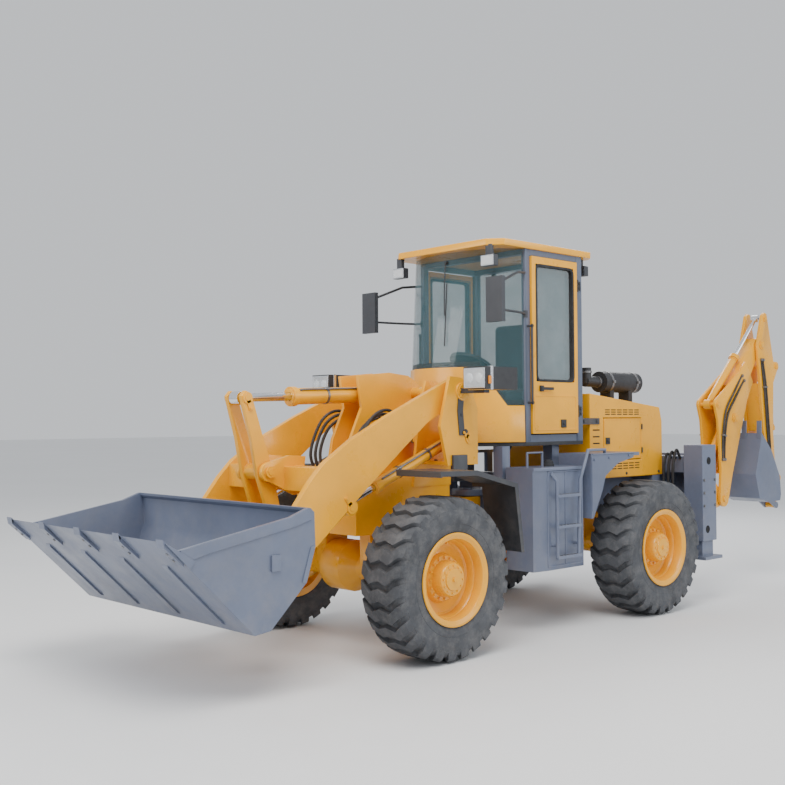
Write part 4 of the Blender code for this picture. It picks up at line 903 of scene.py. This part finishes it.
# steering wheel, its column and the console
hub = Vector((-1.366, 0, 2.2125))
axis = Vector((-0.012, 0, 0.025)).normalized()
one = Vector((0, 1, 0))
two = axis.cross(one)
bm = bmesh.new()
loop = [hub + (one * math.cos(a) + two * math.sin(a)) * 0.176
        for a in (math.tau * k / 40 for k in range(41))]
tube(bm, loop, 0.013, 12, 1, False)
for k in range(3):
    a = math.tau * k / 3 + 0.5
    tube(bm, [hub, hub + (one * math.cos(a) + two * math.sin(a)) * 0.17], 0.009, 10, 2)
bar(bm, hub - axis * 0.03, hub + axis * 0.012, 0.038, 28, 0.03)
bar(bm, hub - axis * 0.25, hub - axis * 0.02, 0.034, 20)
emit("steering_wheel", bm, BLACK, "rear_frame", 0.0, 35)
bm = bmesh.new()
block(bm, (-1.20, -0.98), (-0.26, 0.26), (1.80, 2.06))
emit("instrument_binnacle", bm, BLACK, "rear_frame", 0.03, 35)
bm = bmesh.new()
block(bm, (-1.90, -1.46), (-0.50, -0.34), (1.54, 1.95))
block(bm, (-1.90, -1.70), (0.34, 0.48), (1.54, 1.86))
emit("side_consoles", bm, BLACK, "rear_frame", 0.025, 35)
bm = bmesh.new()
for k in range(4):
    x = -1.52 - 0.09 * k
    bar(bm, (x, -0.42, 1.94), (x + 0.02, -0.42, 2.12), 0.006, 12)
    bar(bm, (x + 0.02, -0.42, 2.10), (x + 0.024, -0.42, 2.15), 0.017, 16, 0.013)
for y in (-0.10, 0.10):
    block(bm, (-1.08, -1.00), (y - 0.04, y + 0.04), (1.60, 1.615))
emit("levers", bm, BLACK, "rear_frame", 0.0, 35)

# seat
bm = bmesh.new()
block(bm, (-1.98, -1.50), (-0.25, 0.25), (1.858, 1.992))
cushion = emit("seat_cushion", bm, CLOTH, "rear_frame", 0.05, 35)
bm = bmesh.new()
block(bm, (-2.032, -1.925), (-0.23, 0.23), (1.975, 2.582))
back = emit("seat_back", bm, CLOTH, "rear_frame", 0.045, 35)
for obj in (cushion, back):
    obj.modifiers["edge"].segments = 6
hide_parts("seat")
bm = bmesh.new()
block(bm, (-1.88, -1.60), (-0.20, 0.20), (1.5305, 1.80))
block(bm, (-1.97, -1.53), (-0.235, 0.235), (1.80, 1.862))
emit("seat_base", bm, BLACK, "rear_frame", 0.012, 35)
bm = bmesh.new()
block(bm, (-2.035, -2.022), (-0.20, 0.20), (2.05, 2.56))
emit("seat_shell", bm, TAN, "rear_frame", 0.006)

# ------------------------------------------------------------------ hood and tanks
for hand, side in SIDES:
    bm = bmesh.new()
    # thin near-black strips proud of the hood side paint the shade inside its vent slots; no
    # slots are cut
    for row, z in enumerate((1.762, 1.782, 1.802)):
        for k in range(6):
            x = -3.06 + 0.092 * k
            block(bm, (x, x + 0.074), both(side, (0.5795, 0.5806)), (z - 0.0045, z + 0.0045))
    for z in (1.262, 1.285, 1.308):
        for k in range(6):
            x = -3.06 + 0.092 * k
            block(bm, (x, x + 0.074), both(side, (0.5795, 0.5806)), (z - 0.0045, z + 0.0045))
    for z in (1.50, 1.56, 1.62):
        block(bm, (-2.44, -2.34), both(side, (0.5795, 0.5806)), (z - 0.006, z + 0.006))
    emit(f"hood_slot_shade_{hand}", bm, PAINTED_HOLE_SHADE, "rear_frame", 0.0, 35)
    bm = bmesh.new()
    ring_plate(bm, (-3.085, -2.512), (1.352, 1.718), 0.02, 0.008, both(side, (0.5795, 0.5825)))
    emit(f"hood_door_press_{hand}", bm, YELLOW, f"hood_leaf_{hand}", 0.001, 35)
    bm = bmesh.new()
    block(bm, (-2.590, -2.530), both(side, (0.5795, 0.590)), (1.49, 1.55))
    bar(bm, (-2.56, side * 0.589, 1.52), (-2.56, side * 0.596, 1.52), 0.014, 20)
    emit(f"hood_latch_{hand}", bm, BLACK, f"hood_leaf_{hand}", 0.004, 35)
    bm = bmesh.new()
    for z in (1.40, 1.62):
        bar(bm, (-3.106, side * 0.583, z), (-3.106, side * 0.583, z + 0.05), 0.008, 16)
    for x in (-3.38, -2.85, -2.36):
        bolt(bm, (x, side * 0.580, 1.215), (0, side, 0), 0.010, 0.009)
    emit(f"hood_hinges_{hand}", bm, DARK, "rear_frame", 0.0, 35)

    # side tank: corner ribs, filler, clips, fender edge
    bm = bmesh.new()
    for x in (-1.745, -1.52, -1.295):
        bar(bm, (x, side * 0.9005, 0.53), (x, side * 0.9005, 1.295), 0.007, 12)
    for z in (0.53, 1.295):
        bar(bm, (-1.745, side * 0.9005, z), (-1.295, side * 0.9005, z), 0.007, 12)
    tube(bm, [(-1.81, side * 0.962, 0.95), (-1.81, side * 0.962, 1.40)], 0.006, 10, 2)
    tube(bm, [(-1.815, side * 0.9615, 1.424), (-2.41, side * 0.9615, 1.424)], 0.006, 10, 2)
    for x, z in ((-1.84, 1.38), (-2.05, 1.39), (-2.34, 1.405)):
        bolt(bm, (x, side * 0.960, z), (0, side, 0), 0.010, 0.009)
    emit(f"tank_ribs_{hand}", bm, GREY, "rear_frame", 0.0, 35)
    bm = bmesh.new()
    bar(bm, (-1.50, side * 0.74, 1.328), (-1.50, side * 0.74, 1.352), 0.052, 32)
    bar(bm, (-1.50, side * 0.74, 1.350), (-1.50, side * 0.74, 1.375), 0.044, 12)
    block(bm, (-1.53, -1.47), both(side, (0.728, 0.752)), (1.372, 1.384))
    emit(f"tank_filler_{hand}", bm, BLACK, "rear_frame", 0.002, 35)
    bm = bmesh.new()
    for z in (1.10, 0.85, 0.605):
        for k in range(7):
            x = -1.64 + 0.045 * k
            block(bm, (x, x + 0.02), both(side, (0.942, 0.968)), (z + 0.0115, z + 0.016))
    emit(f"step_grip_{hand}", bm, STEEL, "rear_frame", 0.0, 35)
    # hoses between the chassis and the leg, and under the cab
    bm = bmesh.new()
    for k in range(3):
        y = side * (0.64 + 0.05 * k)
        tube(bm, [(-3.505, y, 1.34), (-3.44, y, 1.38 + 0.02 * k), (-3.385, y, 1.27),
                  (-3.38, y, 1.02), (-3.43, y, 0.80 - 0.02 * k), (-3.505, y, 0.76)],
             0.0125, 12, 7)
    for k in range(3):
        y = side * (0.20 + 0.06 * k)
        tube(bm, [(-1.80, y, 1.10), (-1.66, y, 1.16 + 0.03 * k), (-1.52, y, 1.28),
                  (-1.47, y, 1.40), (-1.52, y, 1.502)], 0.014, 12, 6)
    emit(f"frame_hoses_{hand}", bm, SEAL, "rear_frame", 0.0, 35)
    bm = bmesh.new()
    # flat near-black discs on the stabiliser leg paint the shade inside its holes; no holes are
    # cut
    for x, z in ((-3.53, 1.32), (-3.50, 0.68)):
        bar(bm, (x, side * 1.0295, z), (x, side * 1.0306, z), 0.036, 36)
    emit(f"leg_hole_shade_{hand}", bm, PAINTED_HOLE_SHADE, "rear_frame", 0.0, 35)
    bm = bmesh.new()
    for x in (-3.635, -3.445):
        for z in (0.90, 1.02, 1.14):
            bolt(bm, (x, side * 1.030, z), (0, side, 0), 0.011, 0.010)
    emit(f"leg_bolts_{hand}", bm, STEEL, "rear_frame", 0.0, 35)

bm = bmesh.new()
for x in (-3.32, -2.92):
    bar(bm, (x - 0.014, 0.30, 2.07), (x + 0.014, 0.30, 2.07), 0.1035, 48)
    block(bm, (x - 0.014, x + 0.014), (0.392, 0.418), (2.06, 2.085))
bar(bm, (-3.412, 0.30, 2.07), (-3.398, 0.30, 2.07), 0.078, 40)
bar(bm, (-2.63, 0.30, 2.150), (-2.63, 0.30, 2.170), 0.051, 32)
bar(bm, (-2.80, 0.30, 2.07), (-2.78, 0.30, 2.07), 0.056, 32)
emit("air_cleaner_bands", bm, STEEL, "rear_frame", 0.0012, 35)

# ------------------------------------------------------------------ backhoe
pins("boom_pins", "boom", YELLOW,
     ((BOOM_PIN, 0.125, DIG_Y, 0.040, 3, None), (DIP_BASE, 0.110, DIG_Y, 0.036, 3, None)))
pins("stick_pins", "stick", YELLOW,
     ((BOOM_TIP, 0.110, DIG_Y, 0.048, 3, None), (DIP_PIN, 0.110, DIG_Y, 0.034, 3, None),
      (CROWD_BASE, 0.110, DIG_Y, 0.032, 3, None)))
gland("boom", "boom_cylinder", BOOM_BASE, BOOM_PIN, DIG_Y, 0.62, 0.040, 0)
gland("dipper", "dipper_cylinder", DIP_BASE, DIP_PIN, DIG_Y, 0.74, 0.040, 0)
gland("crowd", "bucket_cylinder", CROWD_BASE, ROCKER_END, DIG_Y, 0.70, 0.036, 0)

# hoses clamped along the sides of the boom and the dipper
for body, name, lines in (
        ("boom", "boom", (((-4.335, 1.30), (-4.335, 1.55), (-4.40, 1.80), (-4.56, 1.98),
                           (-4.74, 2.16)),
                          ((-4.375, 1.30), (-4.375, 1.54), (-4.44, 1.76), (-4.59, 1.93),
                           (-4.78, 2.11)))),
        ("stick", "dipper", (((-5.15, 2.34), (-5.195, 2.05), (-5.245, 1.62), (-5.30, 1.32)),
                             ((-5.19, 2.34), (-5.235, 2.05), (-5.285, 1.62),
                              (-5.335, 1.32))))):
    bm = bmesh.new()
    fittings = bmesh.new()
    for line in lines:
        for side in (-1, 1):
            y = DIG_Y + side * 0.1235
            tube(bm, [(line[0][0], y - side * 0.012, line[0][1] + (0.0))]
                 + [(x, y, z) for x, z in line[1:-1]]
                 + [(line[-1][0], y - side * 0.012, line[-1][1])], 0.0105, 12, 8)
            for x, z in (line[0], line[-1]):
                bar(fittings, (x, y - side * 0.014, z), (x, y + side * 0.006, z), 0.017, 6)
            x, z = line[1]
            block(fittings, (x - 0.018, x + 0.018), both(1, (y - 0.012, y + 0.013)),
                  (z - 0.008, z + 0.008))
    emit(f"{name}_hoses", bm, HOSE, body, 0.0, 35)
    emit(f"{name}_fittings", fittings, STEEL, body, 0.0, 35)

# ------------------------------------------------------------------ stage
def floor_material():
    g = Graph("studio_floor")
    base = g.mix(g.ramp(g.noise(0.25, 2.0), 0.2, 0.9), (0.78, 0.785, 0.79), (0.82, 0.825, 0.83))
    return g.done(base, g.ramp(g.noise(3.0, 5.0), 0.3, 0.7, 0.55, 0.7), 0.0,
                  g.bump(g.noise(60.0, 4.0), 0.05, 0.002))


bm = bmesh.new()
bmesh.ops.create_grid(bm, x_segments=1, y_segments=1, size=90.0)
mesh = bpy.data.meshes.new("studio_floor")
bm.to_mesh(mesh)
bm.free()
ground = bpy.data.objects.new("studio_floor", mesh)
OUT.objects.link(ground)
mesh.materials.append(floor_material())


def area_light(name, place, target, size, power, colour):
    data = bpy.data.lights.new(name, 'AREA')
    data.shape = 'RECTANGLE'
    data.size, data.size_y = size
    data.energy = power
    data.color = colour
    obj = bpy.data.objects.new(name, data)
    obj.location = place
    obj.rotation_euler = (Vector(target) - Vector(place)).to_track_quat('-Z', 'Y').to_euler()
    OUT.objects.link(obj)


area_light("key", (5.0, 4.0, 9.5), (0, 0, 1.0), (6.0, 6.0), 1000, (1.0, 0.97, 0.93))
area_light("fill", (-4.0, 10.0, 5.0), (-0.5, 0, 1.2), (7.0, 5.0), 330, (0.90, 0.95, 1.0))
area_light("front", (10.0, -3.0, 4.5), (1.0, 0, 1.0), (5.0, 4.0), 260, (1.0, 0.98, 0.95))
area_light("rim", (-8.0, -5.0, 7.0), (0, 0, 1.5), (5.0, 5.0), 380, (1.0, 1.0, 1.0))
world = bpy.data.worlds.new("studio")
world.use_nodes = True
world.node_tree.nodes["Background"].inputs["Color"].default_value = (0.93, 0.96, 1.0, 1.0)
world.node_tree.nodes["Background"].inputs["Strength"].default_value = 0.80
bpy.context.scene.world = world

# ------------------------------------------------------------------ camera
yaw = math.radians(47.0138)
pitch, roll = math.radians(1.4283), math.radians(-0.3387)
look = Vector((-math.cos(yaw) * math.cos(pitch), -math.sin(yaw) * math.cos(pitch),
               math.sin(pitch)))
right = Vector((-math.sin(yaw), math.cos(yaw), 0))
upward = right.cross(look)
level_right = right * math.cos(roll) + upward * math.sin(roll)
level_up = upward * math.cos(roll) - right * math.sin(roll)
camera = bpy.data.objects.new("camera", bpy.data.cameras.new("camera"))
camera.data.lens = 48.89
camera.data.sensor_width = 36
OUT.objects.link(camera)
turn = Matrix((level_right, level_up, -look)).transposed().to_4x4()
camera.matrix_world = Matrix.Translation(at(5.4943, 6.3536, 1.7297)) @ turn
bpy.context.scene.camera = camera
